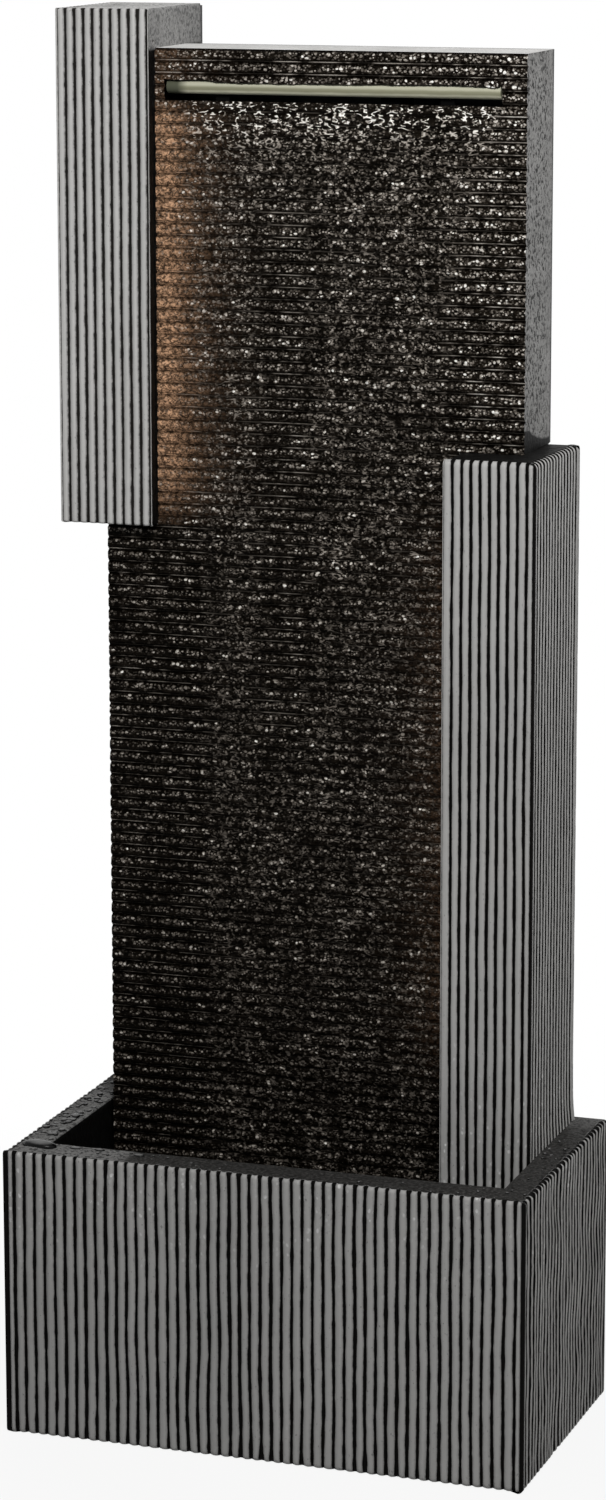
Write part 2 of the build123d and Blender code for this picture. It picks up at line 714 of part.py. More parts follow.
def bar_saddles():
    """Half-round straps that hold the bar against the inside of the wall."""
    bore = BAR_RADIUS + SADDLE_CLEARANCE
    outer = bore + SADDLE_THICKNESS
    tab_y = (wall_inner, wall_inner + SADDLE_THICKNESS)
    spout_z = spout_limits()[1]
    low = spout_z[0] - SADDLE_TAB
    high = spout_z[1] + SADDLE_TAB
    solids = []
    for x in (bar_x[0] + SADDLE_MARGIN, bar_x[1] - SADDLE_MARGIN):
        span = (x - SADDLE_WIDTH / 2, x + SADDLE_WIDTH / 2)
        strap = rod((span[0], bar_y, bar_z), (span[1], bar_y, bar_z), outer)
        strap &= block(span, (wall_inner, bar_y + outer), (bar_z - outer, bar_z + outer))
        strap += block(span, tab_y, (low, high))
        solids.append(strap - rod((span[0], bar_y, bar_z), (span[1], bar_y, bar_z), bore))
    return Compound(solids)


def feed_elbow():
    """Block elbow from the hose up and forward into the back of the bar."""
    collar_y = bar_y + BAR_RADIUS
    web_end = (pump_x, collar_y + ELBOW_WEB, bar_z)
    knee = (pump_x, hose_y, bar_z)
    shoulder = (pump_x, hose_y, hose_top)
    foot = (pump_x, hose_y, elbow_foot)
    tip = (pump_x, bar_y + BAR_BORE_RADIUS, bar_z)
    block_x = (pump_x - ELBOW_HALF, pump_x + ELBOW_HALF)
    body = block(block_x, (collar_y, hose_y + ELBOW_HALF), (hose_top, bar_z + ELBOW_HALF))
    body += rod(foot, shoulder, HOSE_BORE_RADIUS - HOSE_CLEARANCE)
    body += rod(tip, (pump_x, collar_y, bar_z), ELBOW_SPIGOT_RADIUS)
    body -= rod(web_end, knee, ELBOW_BORE_RADIUS)
    body -= rod(foot, knee, ELBOW_BORE_RADIUS)
    return body - rod(tip, web_end, ELBOW_SPIGOT_BORE)


def supply_hose():
    """Soft tube straight up from the pump to the elbow."""
    return pipe((pump_x, hose_y, barb_seat), (pump_x, hose_y, hose_top), HOSE_RADIUS, HOSE_BORE_RADIUS)


def hose_clamps():
    """Band with a screw lug at each end of the hose."""
    bore = HOSE_RADIUS + CLAMP_CLEARANCE
    solids = []
    for low in (barb_seat + CLAMP_INSET, hose_top - CLAMP_INSET - CLAMP_WIDTH):
        z = (low, low + CLAMP_WIDTH)
        ends = [(pump_x, hose_y, height) for height in z]
        lug_x = (pump_x - CLAMP_LUG / 2, pump_x + CLAMP_LUG / 2)
        lug = block(lug_x, (hose_y + HOSE_RADIUS, hose_y + HOSE_RADIUS + CLAMP_LUG), z)
        solids.append(rod(*ends, bore + CLAMP_THICKNESS) + lug - rod(*ends, bore))
    return Compound(solids)


def hose_clips():
    """Rings on short arms that hold the hose off the wall."""
    bore = HOSE_RADIUS + CLAMP_CLEARANCE
    arm_x = (pump_x - CLIP_ARM / 2, pump_x + CLIP_ARM / 2)
    spacing = (hose_top - barb_seat) / (CLIP_COUNT + 1)
    solids = []
    for index in range(CLIP_COUNT):
        low = barb_seat + (index + 1) * spacing
        z = (low, low + CLIP_WIDTH)
        ends = [(pump_x, hose_y, height) for height in z]
        arm = block(arm_x, (wall_inner, hose_y), z)
        solids.append(rod(*ends, bore + CLIP_THICKNESS) + arm - rod(*ends, bore))
    return Compound(solids)


def on_pump_axis(offset):
    """Point on the rotor's axis, at an offset along X from the outlet."""
    return (pump_x + offset, hose_y, pump_axis_z)


def pump_section(start, end, shrink):
    """Bar along X with the pump's cut-cornered section, made smaller by the given amount a side."""
    seat = Plane(origin=on_pump_axis(start), x_dir=(0, 1, 0), z_dir=(1, 0, 0))
    outline = Rectangle(PUMP_WIDTH - 2 * shrink, PUMP_HEIGHT - 2 * shrink)
    outline = chamfer(outline.vertices(), PUMP_CORNER - shrink)
    return extrude(seat * outline, amount=end - start)


def cup_places():
    """X and Y of the four suction cups."""
    across = PUMP_WIDTH / 2 - CUP_INSET
    ends = (CUP_INSET - PUMP_NOSE, PUMP_TAIL - CUP_INSET)
    return [(pump_x + dx, hose_y + dy) for dx in ends for dy in (-across, across)]


def pump_housing():
    """Sealed motor block with the impeller chamber in its nose and the outlet on top."""
    body = pump_section(-PUMP_NOSE, PUMP_TAIL, 0)
    body = chamfer(body.edges().group_by(Axis.X)[-1], PUMP_REAR_BEVEL)
    chamber_end = CHAMBER_DEPTH - PUMP_NOSE
    rotor_end = chamber_end + ROTOR_LENGTH + 2 * ROTOR_CLEARANCE
    body -= rod(on_pump_axis(-PUMP_NOSE), on_pump_axis(chamber_end), CHAMBER_RADIUS)
    body -= rod(on_pump_axis(chamber_end), on_pump_axis(rotor_end), ROTOR_RADIUS + ROTOR_CLEARANCE)
    seat_radius = SHAFT_RADIUS + RUNNING_CLEARANCE
    body -= rod(on_pump_axis(rotor_end), on_pump_axis(rotor_end + SHAFT_SEAT), seat_radius)
    top = (pump_x, hose_y, pump_top)
    seat = (pump_x, hose_y, pump_top - BARB_SPIGOT)
    body -= rod(seat, top, BARB_SPIGOT_RADIUS + THREAD_CLEARANCE)
    body -= rod(on_pump_axis(0), top, BARB_BORE_RADIUS)
    for px, py in cup_places():
        socket = CUP_STEM_RADIUS + THREAD_CLEARANCE
        body -= rod((px, py, pump_foot), (px, py, pump_foot + CUP_STEM), socket)
    for index in range(PUMP_FIN_COUNT):
        start = pump_x + chamber_end + PUMP_FIN_PITCH * (index + 0.5)
        for side in (-1, 1):
            face = hose_y + side * PUMP_WIDTH / 2
            groove_y = sorted((face, face - side * PUMP_FIN_DEPTH))
            groove_z = (pump_foot + PUMP_CORNER, pump_top - PUMP_CORNER)
            body -= block((start, start + PUMP_FIN_GROOVE), groove_y, groove_z)
    return body


def impeller():
    """Magnet rotor with a disc of straight blades in front of it."""
    magnet_start = CHAMBER_DEPTH - PUMP_NOSE + ROTOR_CLEARANCE
    disc_end = magnet_start - 2 * ROTOR_CLEARANCE
    disc_start = disc_end - DISC_THICKNESS
    tip = disc_start - BLADE_LENGTH
    solids = [
        rod(on_pump_axis(magnet_start), on_pump_axis(magnet_start + ROTOR_LENGTH), ROTOR_RADIUS),
        rod(on_pump_axis(disc_start), on_pump_axis(disc_end), BLADE_RADIUS),
        rod(on_pump_axis(tip), on_pump_axis(magnet_start), HUB_RADIUS),
    ]
    half = BLADE_THICKNESS / 2
    for index in range(BLADE_COUNT):
        blade = block((tip, disc_start), (0, BLADE_RADIUS), (-half, half))
        turn = Rot(360 * index / BLADE_COUNT, 0, 0)
        solids.append(Pos(*on_pump_axis(0)) * turn * blade)
    body = joined(solids)
    bore = SHAFT_RADIUS + RUNNING_CLEARANCE
    return body - rod(on_pump_axis(tip), on_pump_axis(magnet_start + ROTOR_LENGTH), bore)


def shaft_ends():
    """Limits of the ceramic shaft along the rotor's axis."""
    rear = CHAMBER_DEPTH - PUMP_NOSE + ROTOR_LENGTH + 2 * ROTOR_CLEARANCE + SHAFT_SEAT
    return -PUMP_NOSE - CHAMBER_COVER, rear


def impeller_shaft():
    """Ceramic pin that the impeller turns on."""
    start, end = shaft_ends()
    return rod(on_pump_axis(start), on_pump_axis(end), SHAFT_RADIUS)


def chamber_cover():
    """Plate over the impeller chamber with a spoked eye."""
    end = -PUMP_NOSE
    start = end - CHAMBER_COVER
    plate = pump_section(start, end, STRAINER_WALL + STRAINER_CLEARANCE)
    plate -= rod(on_pump_axis(start), on_pump_axis(end), CHAMBER_EYE_RADIUS)
    half = SPOKE_WIDTH / 2
    spokes = [rod(on_pump_axis(start), on_pump_axis(end), BEARING_RADIUS)]
    for index in range(SPOKE_COUNT):
        spoke = block((start, end), (0, CHAMBER_EYE_RADIUS + half), (-half, half))
        spokes.append(Pos(*on_pump_axis(0)) * Rot(360 * index / SPOKE_COUNT, 0, 0) * spoke)
    plate = joined([plate] + spokes)
    return plate - rod(on_pump_axis(start), on_pump_axis(end), SHAFT_RADIUS + RUNNING_CLEARANCE)


def strainer():
    """Slotted snap-on cover in front of the chamber."""
    end = -PUMP_NOSE - THREAD_CLEARANCE
    start = end - STRAINER_LENGTH
    inside = start + STRAINER_WALL
    body = pump_section(start, end, 0) - pump_section(inside, end, STRAINER_WALL)
    slot_start = pump_x + start + STRAINER_SLOT_SETBACK
    slot_x = (slot_start, slot_start + STRAINER_SLOT_LENGTH)
    through_y = (hose_y - PUMP_WIDTH / 2, hose_y + PUMP_WIDTH / 2)
    first = pump_axis_z - STRAINER_SLOT_PITCH * (STRAINER_SLOT_COUNT - 1) / 2
    for index in range(STRAINER_SLOT_COUNT):
        z = first + index * STRAINER_SLOT_PITCH
        body -= block(slot_x, through_y, (z - STRAINER_SLOT / 2, z + STRAINER_SLOT / 2))
    pivot = DIAL_PIVOT_RADIUS + RUNNING_CLEARANCE
    return body - rod(on_pump_axis(start), on_pump_axis(inside), pivot)


def flow_dial():
    """Round dial with a grip bar, turning on a stub in the strainer's face."""
    face = -PUMP_NOSE - THREAD_CLEARANCE - STRAINER_LENGTH
    back = face - DIAL_GAP
    front = back - DIAL_THICKNESS
    stub_end = face + STRAINER_WALL
    dial = rod(on_pump_axis(front), on_pump_axis(back), DIAL_RADIUS)
    dial += rod(on_pump_axis(back), on_pump_axis(stub_end), DIAL_PIVOT_RADIUS)
    half = DIAL_GRIP_WIDTH / 2
    reach = DIAL_RADIUS - DIAL_GRIP_WIDTH
    grip_x = (pump_x + front - DIAL_GRIP_HEIGHT, pump_x + front)
    grip_y = (hose_y - half, hose_y + half)
    return dial + block(grip_x, grip_y, (pump_axis_z - reach, pump_axis_z + reach))


def outlet_barb():
    """Flanged spigot that carries the hose."""
    foot = (pump_x, hose_y, pump_top - BARB_SPIGOT)
    flange = (pump_x, hose_y, pump_top)
    seat = (pump_x, hose_y, barb_seat)
    tip = (pump_x, hose_y, barb_seat + BARB_LENGTH)
    barb = rod(foot, flange, BARB_SPIGOT_RADIUS) + rod(flange, seat, BARB_FLANGE_RADIUS)
    barb += rod(seat, tip, HOSE_BORE_RADIUS - HOSE_CLEARANCE)
    return barb - rod(foot, tip, BARB_BORE_RADIUS)


def suction_cups():
    """Rubber feet that hold the pump to the basin floor."""
    solids = []
    for px, py in cup_places():
        foot = rod((px, py, BASIN_FLOOR), (px, py, pump_foot), CUP_RADIUS)
        solids.append(foot + rod((px, py, pump_foot), (px, py, pump_foot + CUP_STEM), CUP_STEM_RADIUS))
    return Compound(solids)


def light_bar(side):
    """Channel, circuit board and lens of the light behind one pillar's slot."""
    skin, out, slot_y, slot_z = light_slot(side)
    seat = skin[0] if out > 0 else skin[1]

    def depth(low, high):
        return tuple(sorted((seat + out * low, seat + out * high)))

    tall = (slot_z[0] + LIGHT_CLEARANCE, slot_z[1] - LIGHT_CLEARANCE)
    outer_z = (slot_z[0] - CHANNEL_WALL, slot_z[1] + CHANNEL_WALL)
    cavity_y = (slot_y[0], slot_y[1] + LENS_LIP)
    outer_y = (cavity_y[0] - CHANNEL_WALL, cavity_y[1] + CHANNEL_WALL)
    floor = -CHANNEL_DEPTH + CHANNEL_WALL
    channel = block(depth(-CHANNEL_DEPTH, 0), outer_y, outer_z) - block(depth(floor, 0), cavity_y, slot_z)
    board_y = (cavity_y[0] + LIGHT_CLEARANCE, cavity_y[1] - LIGHT_CLEARANCE)
    board_top = floor + BOARD_THICKNESS
    board = block(depth(floor, board_top), board_y, tall)
    middle = (slot_y[0] + slot_y[1]) / 2
    chip_y = (middle - CHIP_SIZE / 2, middle + CHIP_SIZE / 2)
    chip_z = tall[0] + CHIP_MARGIN
    while chip_z < tall[1] - CHIP_MARGIN:
        board += block(depth(board_top, board_top + CHIP_HEIGHT), chip_y, (chip_z, chip_z + CHIP_SIZE))
        chip_z += CHIP_PITCH
    tongue_y = (slot_y[0] + LIGHT_CLEARANCE, slot_y[1] - LIGHT_CLEARANCE)
    lens = block(depth(0, PILLAR_SKIN - LENS_RECESS), tongue_y, tall)
    lens += block(depth(-LENS_FLANGE, 0), board_y, tall)
    return channel, board, lens


def build():
    """Every node of the fountain by name."""
    nodes = {
        "basin": basin(),
        "drain_plug": drain_plug(),
        "water_wall": water_wall(),
        "left_pillar": pillar("left"),
        "right_pillar": pillar("right"),
        "left_pillar_back": pillar_back("left"),
        "right_pillar_back": pillar_back("right"),
        "rear_cover": rear_cover(),
        "access_door": access_door(),
        "hinge_pins": hinge_pins(),
        "door_knob": door_knob(),
        "door_catch": door_catch(),
        "strike_plate": strike_plate(),
        "cable_grommet": cable_grommet(),
        "cover_screws": cover_screws(),
        "pillar_back_screws": pillar_screws_set(),
        "pillar_bolts": pillar_bolts(),
        "pillar_nuts": pillar_nuts(),
        "water_bar": water_bar(),
        "water_bar_caps": bar_caps(),
        "water_bar_saddles": bar_saddles(),
        "feed_elbow": feed_elbow(),
        "supply_hose": supply_hose(),
        "hose_clamps": hose_clamps(),
        "hose_clips": hose_clips(),
        "pump_housing": pump_housing(),
        "pump_impeller": impeller(),
        "impeller_shaft": impeller_shaft(),
        "chamber_cover": chamber_cover(),
        "pump_strainer": strainer(),
        "flow_dial": flow_dial(),
        "outlet_barb": outlet_barb(),
        "suction_cups": suction_cups(),
    }
    for side in ("left", "right"):
        names = [f"{side}_light_{piece}" for piece in ("channel", "board", "lens")]
        nodes.update(zip(names, light_bar(side)))
    return nodes


os.makedirs("parts", exist_ok=True)
for name, shape in build().items():
    export_step(shape, f"parts/{name}.step")
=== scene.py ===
"""Look of a floor-standing garden fountain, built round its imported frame.

Fluted castings, a wet ribbed wall, a pale water bar and the plainer pieces behind. Metres, X to the right,
Y to the back, Z up, with the origin under the middle of the basin.
"""
import logging
import math
from abc import ABC, abstractmethod
from dataclasses import dataclass, field
from enum import Enum
from typing import Any, Dict, List, Optional, Sequence, Set, Tuple

import bpy
import numpy as np
from mathutils import Matrix, Vector


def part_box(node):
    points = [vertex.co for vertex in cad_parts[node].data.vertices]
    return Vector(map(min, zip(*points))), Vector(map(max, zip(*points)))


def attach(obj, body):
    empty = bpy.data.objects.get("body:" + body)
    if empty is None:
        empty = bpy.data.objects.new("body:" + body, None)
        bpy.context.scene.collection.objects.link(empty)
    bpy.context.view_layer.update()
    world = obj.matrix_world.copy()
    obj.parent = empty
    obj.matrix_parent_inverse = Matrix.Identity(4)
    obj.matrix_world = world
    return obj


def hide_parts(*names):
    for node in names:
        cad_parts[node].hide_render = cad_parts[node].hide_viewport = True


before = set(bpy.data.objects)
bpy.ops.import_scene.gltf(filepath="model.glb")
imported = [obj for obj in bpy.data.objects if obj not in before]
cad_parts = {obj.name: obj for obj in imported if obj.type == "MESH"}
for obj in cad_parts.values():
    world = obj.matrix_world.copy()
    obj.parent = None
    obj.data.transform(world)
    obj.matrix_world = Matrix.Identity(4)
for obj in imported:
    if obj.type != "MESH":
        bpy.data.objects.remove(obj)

LOG = logging.getLogger("fountain")
MM = 0.001
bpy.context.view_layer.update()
FULL_TURN = 2 * math.pi
EDGE_GAP = 0.05 * MM  # each side of a sharp step, between two grid lines
SNAP = 1e-6  # places nearer than this are the same

Array = np.ndarray
Random = np.random.Generator
Piece = bpy.types.Object
Floats = Tuple[float, ...]
Span = Tuple[float, float]
Triple = Tuple[float, float, float]
Colour = Tuple[float, float, float, float]
Stops = Tuple[Tuple[float, float], ...]
Rows = Tuple[Array, Array, Array]


class Body(Enum):
    """Bodies of the frame that new pieces ride on."""

    FOUNTAIN = "fountain"


class RunEnd(Enum):
    """How a fluted side meets its corner."""

    CORNER = "black corner"
    RIB = "rib at the corner"
    EDGE = "thin pale edge after the last groove"


Ends = Tuple[RunEnd, RunEnd]


class Side(Enum):
    """The four upright sides of a casting, in the order they are walked seen from above."""

    FRONT = "front"
    RIGHT = "right"
    BACK = "back"
    LEFT = "left"


def smooth(low: float, high: float, value: Array) -> Array:
    """Smooth step from 0 at low to 1 at high."""
    t = np.clip((np.asarray(value, float) - low) / (high - low), 0.0, 1.0)
    return t * t * (3.0 - 2.0 * t)


def wave_noise(rng: Random, at: Array, length: float, waves: int = 4) -> Array:
    """Gentle one-dimensional wander.

    Args:
        rng: Seeded source of the phases.
        at: Places along the line, in metres.
        length: Main wavelength, in metres.
        waves: Number of waves added up.

    Returns:
        Values from about -1 to 1, one for each place.
    """
    shorter, weaker = 0.7, 0.6
    total = np.zeros_like(np.asarray(at, float))
    for index in range(waves):
        scale = length / (1.0 + shorter * index)
        total += np.sin(FULL_TURN * at / scale + rng.uniform(0, FULL_TURN)) / (1.0 + weaker * index)
    return total / 2.0


def field_noise(rng: Random, x: Array, z: Array, size: Span, waves: int = 28) -> Array:
    """Irregular two-dimensional ripple made of waves of many directions.

    Args:
        rng: Seeded source of directions and phases.
        x: First coordinates, in metres.
        z: Second coordinates, in metres.
        size: Mean wavelength along each coordinate, in metres.
        waves: Number of waves added up.

    Returns:
        Values of about unit spread, shaped as x.
    """
    paces = (0.7, 1.5)
    total = np.zeros_like(x)
    for _ in range(waves):
        turn = rng.uniform(0, FULL_TURN)
        pace = rng.uniform(*paces)
        kx = FULL_TURN * math.cos(turn) * pace / size[0]
        kz = FULL_TURN * math.sin(turn) * pace / size[1]
        total += np.sin(kx * x + kz * z + rng.uniform(0, FULL_TURN))
    return total * math.sqrt(2.0 / waves)


def tone(level: float, warmth: float = 0.0) -> Colour:
    """Grey colour with a little warmth."""
    return (level * (1 + warmth), level, level * (1 - warmth), 1.0)


@dataclass(frozen=True)
class Grain:
    """A noise: waves per metre, octaves, share of the finer ones, scale of each axis, and how far it winds."""

    scale: float
    detail: float = 2.0
    roughness: float = 0.5
    stretch: Optional[Triple] = None
    curl: float = 0.0


@dataclass(frozen=True)
class Specks:
    """Scattered dots: cells per metre, radius in cells, scale of each axis, and how far they bend into arcs.

    Then the bending's scale against the cells', the share of the radius that is full, and how bright dots are.
    """

    scale: float
    radius: float
    stretch: Triple
    bend: float
    bend_scale: float = 0.4
    full: float = 0.7
    chances: Stops = ((0.2, 0.05), (0.65, 0.34), (0.95, 1.0))


@dataclass(frozen=True)
class Relief:
    """Bump of a surface: its noise, the metres that a height of 1 stands for, and its strength."""

    grain: Grain
    distance: float
    strength: float


class ShaderTree:
    """Short way to write a material's nodes."""

    def __init__(self, name: str) -> None:
        """Makes an empty material with a principled shader joined to its output.

        Args:
            name: Name of the material.
        """
        self.material = bpy.data.materials.new(name)
        self.material.use_nodes = True
        self.nodes = self.material.node_tree.nodes
        self.links = self.material.node_tree.links
        self.nodes.clear()
        self.output = self.nodes.new("ShaderNodeOutputMaterial")
        self.shader = self.nodes.new("ShaderNodeBsdfPrincipled")
        self.links.new(self.shader.outputs[0], self.output.inputs[0])
        self.place = self.nodes.new("ShaderNodeTexCoord").outputs["Object"]

    def join(self, source: Any, socket: Any) -> None:
        """Links an output, or sets a plain value, on a socket.

        Args:
            source: Output socket or plain value.
            socket: Input socket that takes it.
        """
        if isinstance(source, bpy.types.NodeSocket):
            self.links.new(source, socket)
        else:
            socket.default_value = source

    def noise(self, grain: Grain) -> Any:
        """Noise texture.

        Args:
            grain: The noise.

        Returns:
            The factor output.
        """
        node = self.nodes.new("ShaderNodeTexNoise")
        node.inputs["Scale"].default_value = grain.scale
        node.inputs["Detail"].default_value = grain.detail
        node.inputs["Roughness"].default_value = grain.roughness
        node.inputs["Distortion"].default_value = grain.curl
        self.links.new(self.stretched(grain.stretch), node.inputs["Vector"])
        return node.outputs["Fac"]

    def dots(self, specks: Specks) -> Any:
        """Scattered dots, one to a cell, each with a brightness of its own.

        Args:
            specks: The dots.

        Returns:
            The brightness output, 0 between the dots.
        """
        cell = self.nodes.new("ShaderNodeTexVoronoi")
        cell.inputs["Scale"].default_value = specks.scale
        wave = self.nodes.new("ShaderNodeTexNoise")
        wave.inputs["Scale"].default_value = specks.scale * specks.bend_scale
        shift = self.nodes.new("ShaderNodeVectorMath")
        shift.operation = "MULTIPLY_ADD"
        shift.inputs[1].default_value = (specks.bend / specks.scale,) * 3
        place = self.stretched(specks.stretch)
        self.links.new(place, wave.inputs["Vector"])
        self.links.new(wave.outputs["Color"], shift.inputs[0])
        self.links.new(place, shift.inputs[2])
        self.links.new(shift.outputs[0], cell.inputs["Vector"])
        split = self.nodes.new("ShaderNodeSeparateColor")
        self.links.new(cell.outputs["Color"], split.inputs[0])
        mask = self.ramp(cell.outputs["Distance"], ((specks.radius * specks.full, 1.0), (specks.radius, 0.0)))
        return self.times(mask, self.ramp(split.outputs[0], specks.chances))

    def stretched(self, stretch: Optional[Triple]) -> Any:
        """Object coordinates, scaled by axis where asked.

        Args:
            stretch: Scale of each axis, or None.

        Returns:
            The coordinates' output.
        """
        if stretch is None:
            return self.place
        node = self.nodes.new("ShaderNodeMapping")
        node.inputs["Scale"].default_value = stretch
        self.links.new(self.place, node.inputs["Vector"])
        return node.outputs["Vector"]

    def ramp(self, source: Any, stops: Stops) -> Any:
        """Grey ramp of a value.

        Args:
            source: Output to look up.
            stops: Place and level of each stop.

        Returns:
            The level's output.
        """
        node = self.nodes.new("ShaderNodeValToRGB")
        ramp = node.color_ramp
        while len(ramp.elements) < len(stops):
            ramp.elements.new(1.0)
        for element, (place, level) in zip(ramp.elements, stops):
            element.position = place
            element.color = (level, level, level, 1.0)
        self.links.new(source, node.inputs["Fac"])
        return node.outputs["Color"]

    def math(self, operation: str, first: Any, second: Any = 0.0) -> Any:
        """Math node.

        Args:
            operation: Name of the operation.
            first: First output or number.
            second: Second output or number.

        Returns:
            The result's output.
        """
        node = self.nodes.new("ShaderNodeMath")
        node.operation = operation
        self.join(first, node.inputs[0])
        self.join(second, node.inputs[1])
        return node.outputs[0]

    def times(self, first: Any, second: Any) -> Any:
        """Product of two values."""
        return self.math("MULTIPLY", first, second)

    def plus(self, first: Any, second: Any) -> Any:
        """Sum of two values."""
        return self.math("ADD", first, second)

    def minus(self, first: Any, second: Any) -> Any:
        """Difference of two values."""
        return self.math("SUBTRACT", first, second)

    def most(self, first: Any, second: Any) -> Any:
        """Larger of two values."""
        return self.math("MAXIMUM", first, second)

    def centred(self, source: Any, reach: float) -> Any:
        """A noise moved to lie about 0 and scaled by its reach."""
        return self.times(self.minus(source, 0.5), reach)

    def mix(self, factor: Any, first: Any, second: Any) -> Any:
        """Colour between two colours.

        Args:
            factor: Share of the second colour.
            first: First output or colour.
            second: Second output or colour.

        Returns:
            The colour's output.
        """
        node = self.nodes.new("ShaderNodeMix")
        node.data_type = "RGBA"
        self.join(factor, node.inputs[0])
        self.join(first, node.inputs[6])
        self.join(second, node.inputs[7])
        return node.outputs[2]

    def attribute(self, name: str) -> Any:
        """Point value of the mesh.

        Args:
            name: Name of the value.

        Returns:
            The factor output.
        """
        node = self.nodes.new("ShaderNodeAttribute")
        node.attribute_name = name
        return node.outputs["Fac"]

    def bump(self, height: Any, distance: float, strength: Any = 1.0, below: Any = None) -> Any:
        """Bump normal.

        Args:
            height: Height output, 0 to 1.
            distance: Metres that a height of 1 stands for.
            strength: Strength, a number or an output.
            below: Normal of a bump under this one, or None.

        Returns:
            The normal output.
        """
        node = self.nodes.new("ShaderNodeBump")
        node.inputs["Distance"].default_value = distance
        self.join(strength, node.inputs["Strength"])
        self.links.new(height, node.inputs["Height"])
        if below is not None:
            self.links.new(below, node.inputs["Normal"])
        return node.outputs["Normal"]

    def relief(self, relief: Relief, below: Any = None) -> Any:
        """Bump normal of a relief, over another where given."""
        return self.bump(self.noise(relief.grain), relief.distance, relief.strength, below)

    def set(self, **values: Any) -> None:
        """Sets or links sockets of the principled shader, with underscores for spaces."""
        for key, value in values.items():
            self.join(value, self.shader.inputs[key.replace("_", " ")])


class Finish(ABC):
    """A finish that makes its material once."""

    name: str

    @abstractmethod
    def dress(self, tree: ShaderTree) -> None:
        """Writes the finish into a fresh tree."""

    def material(self) -> bpy.types.Material:
        """The finish's material, made on first use.

        Returns:
            The material.
        """
        found = bpy.data.materials.get(self.name)
        if found is None:
            tree = ShaderTree(self.name)
            self.dress(tree)
            found = tree.material
        return found


@dataclass(frozen=True)
class FlutePaint(Finish):
    """Grey paint brushed over the crests of black flutes, thinner towards rib edges, partly as painted shade."""

    name: str
    crest: float
    groove: float = 0.004
    groove_warmth: float = 0.08
    roughness: float = 0.7
    gloss: float = 0.04
    ragged: Grain = Grain(190.0, 4.0, 0.65)
    ragged_reach: float = 0.5
    # Paint's share by crest value; its middle stop darkens rib edges as thin paint and painted shade.
    cover_and_edge_shade: Stops = ((0.44, 0.0), (0.64, 0.75), (0.95, 1.0))
    drift: Grain = Grain(9.0, 3.0, 0.55, (1.0, 1.0, 0.35))
    streak: Grain = Grain(600.0, 2.0, 0.5, (1.0, 1.0, 0.02))
    streak_share: float = 0.6
    brushed: Stops = ((0.5, 0.0), (1.1, 1.0))
    brushed_levels: Span = (0.88, 1.10)
    warmth: float = 0.008
    splash_levels: Span = (0.1, 0.9)
    patch: Grain = Grain(70.0, 2.0, 0.6)
    patch_stops: Stops = ((0.48, 0.0), (0.62, 0.9))
    # Water drops on the ribs, shown as flecks paler than the paint: a painted highlight.
    drop_glint: Specks = Specks(310.0, 0.40, (1.0, 0.3, 0.7), 1.2)
    drop_glint_level: float = 1.9
    pit: Grain = Grain(520.0, 2.0, 0.6, (1.0, 1.0, 0.5))
    pit_stops: Stops = ((0.27, 1.0), (0.32, 0.0))
    pit_level: float = 0.6
    fine: Relief = Relief(Grain(900.0, 3.0, 0.6), 0.4 * MM, 0.35)
    coarse: Relief = Relief(Grain(140.0), 0.8 * MM, 0.4)

    def dress(self, tree: ShaderTree) -> None:
        """Crest and groove colours by the mesh's crest, with flecks as painted drop highlights, scuffs and brush
        marks.

        Args:
            tree: Fresh tree of the material.
        """
        edge = tree.centred(tree.noise(self.ragged), self.ragged_reach)
        # paint thins towards each rib's edge: partly thin paint, partly painted shade of the rounded rib
        cover_and_edge_shade = tree.ramp(tree.plus(tree.attribute("crest"), edge), self.cover_and_edge_shade)
        level = tree.plus(tree.noise(self.drift), tree.times(tree.noise(self.streak), self.streak_share))
        dim, bright = (tone(self.crest * share, self.warmth) for share in self.brushed_levels)
        paint = tree.mix(tree.ramp(level, self.brushed), dim, bright)
        least, more = self.splash_levels
        splash = tree.plus(tree.times(tree.attribute("splash"), more), least)
        rare = tree.ramp(tree.noise(self.patch), self.patch_stops)
        # painted highlights of water drops, paler than the paint
        drop_glint = tree.times(tree.dots(self.drop_glint), tree.times(rare, splash))
        paint = tree.mix(drop_glint, paint, tone(min(1.0, self.crest * self.drop_glint_level)))
        pit = tree.ramp(tree.noise(self.pit), self.pit_stops)
        paint = tree.mix(pit, paint, tone(self.crest * self.pit_level))
        tree.set(Base_Color=tree.mix(cover_and_edge_shade, tone(self.groove, self.groove_warmth), paint),
                 Roughness=self.roughness, Specular_IOR_Level=self.gloss)
        tree.set(Normal=tree.relief(self.coarse, tree.relief(self.fine)))


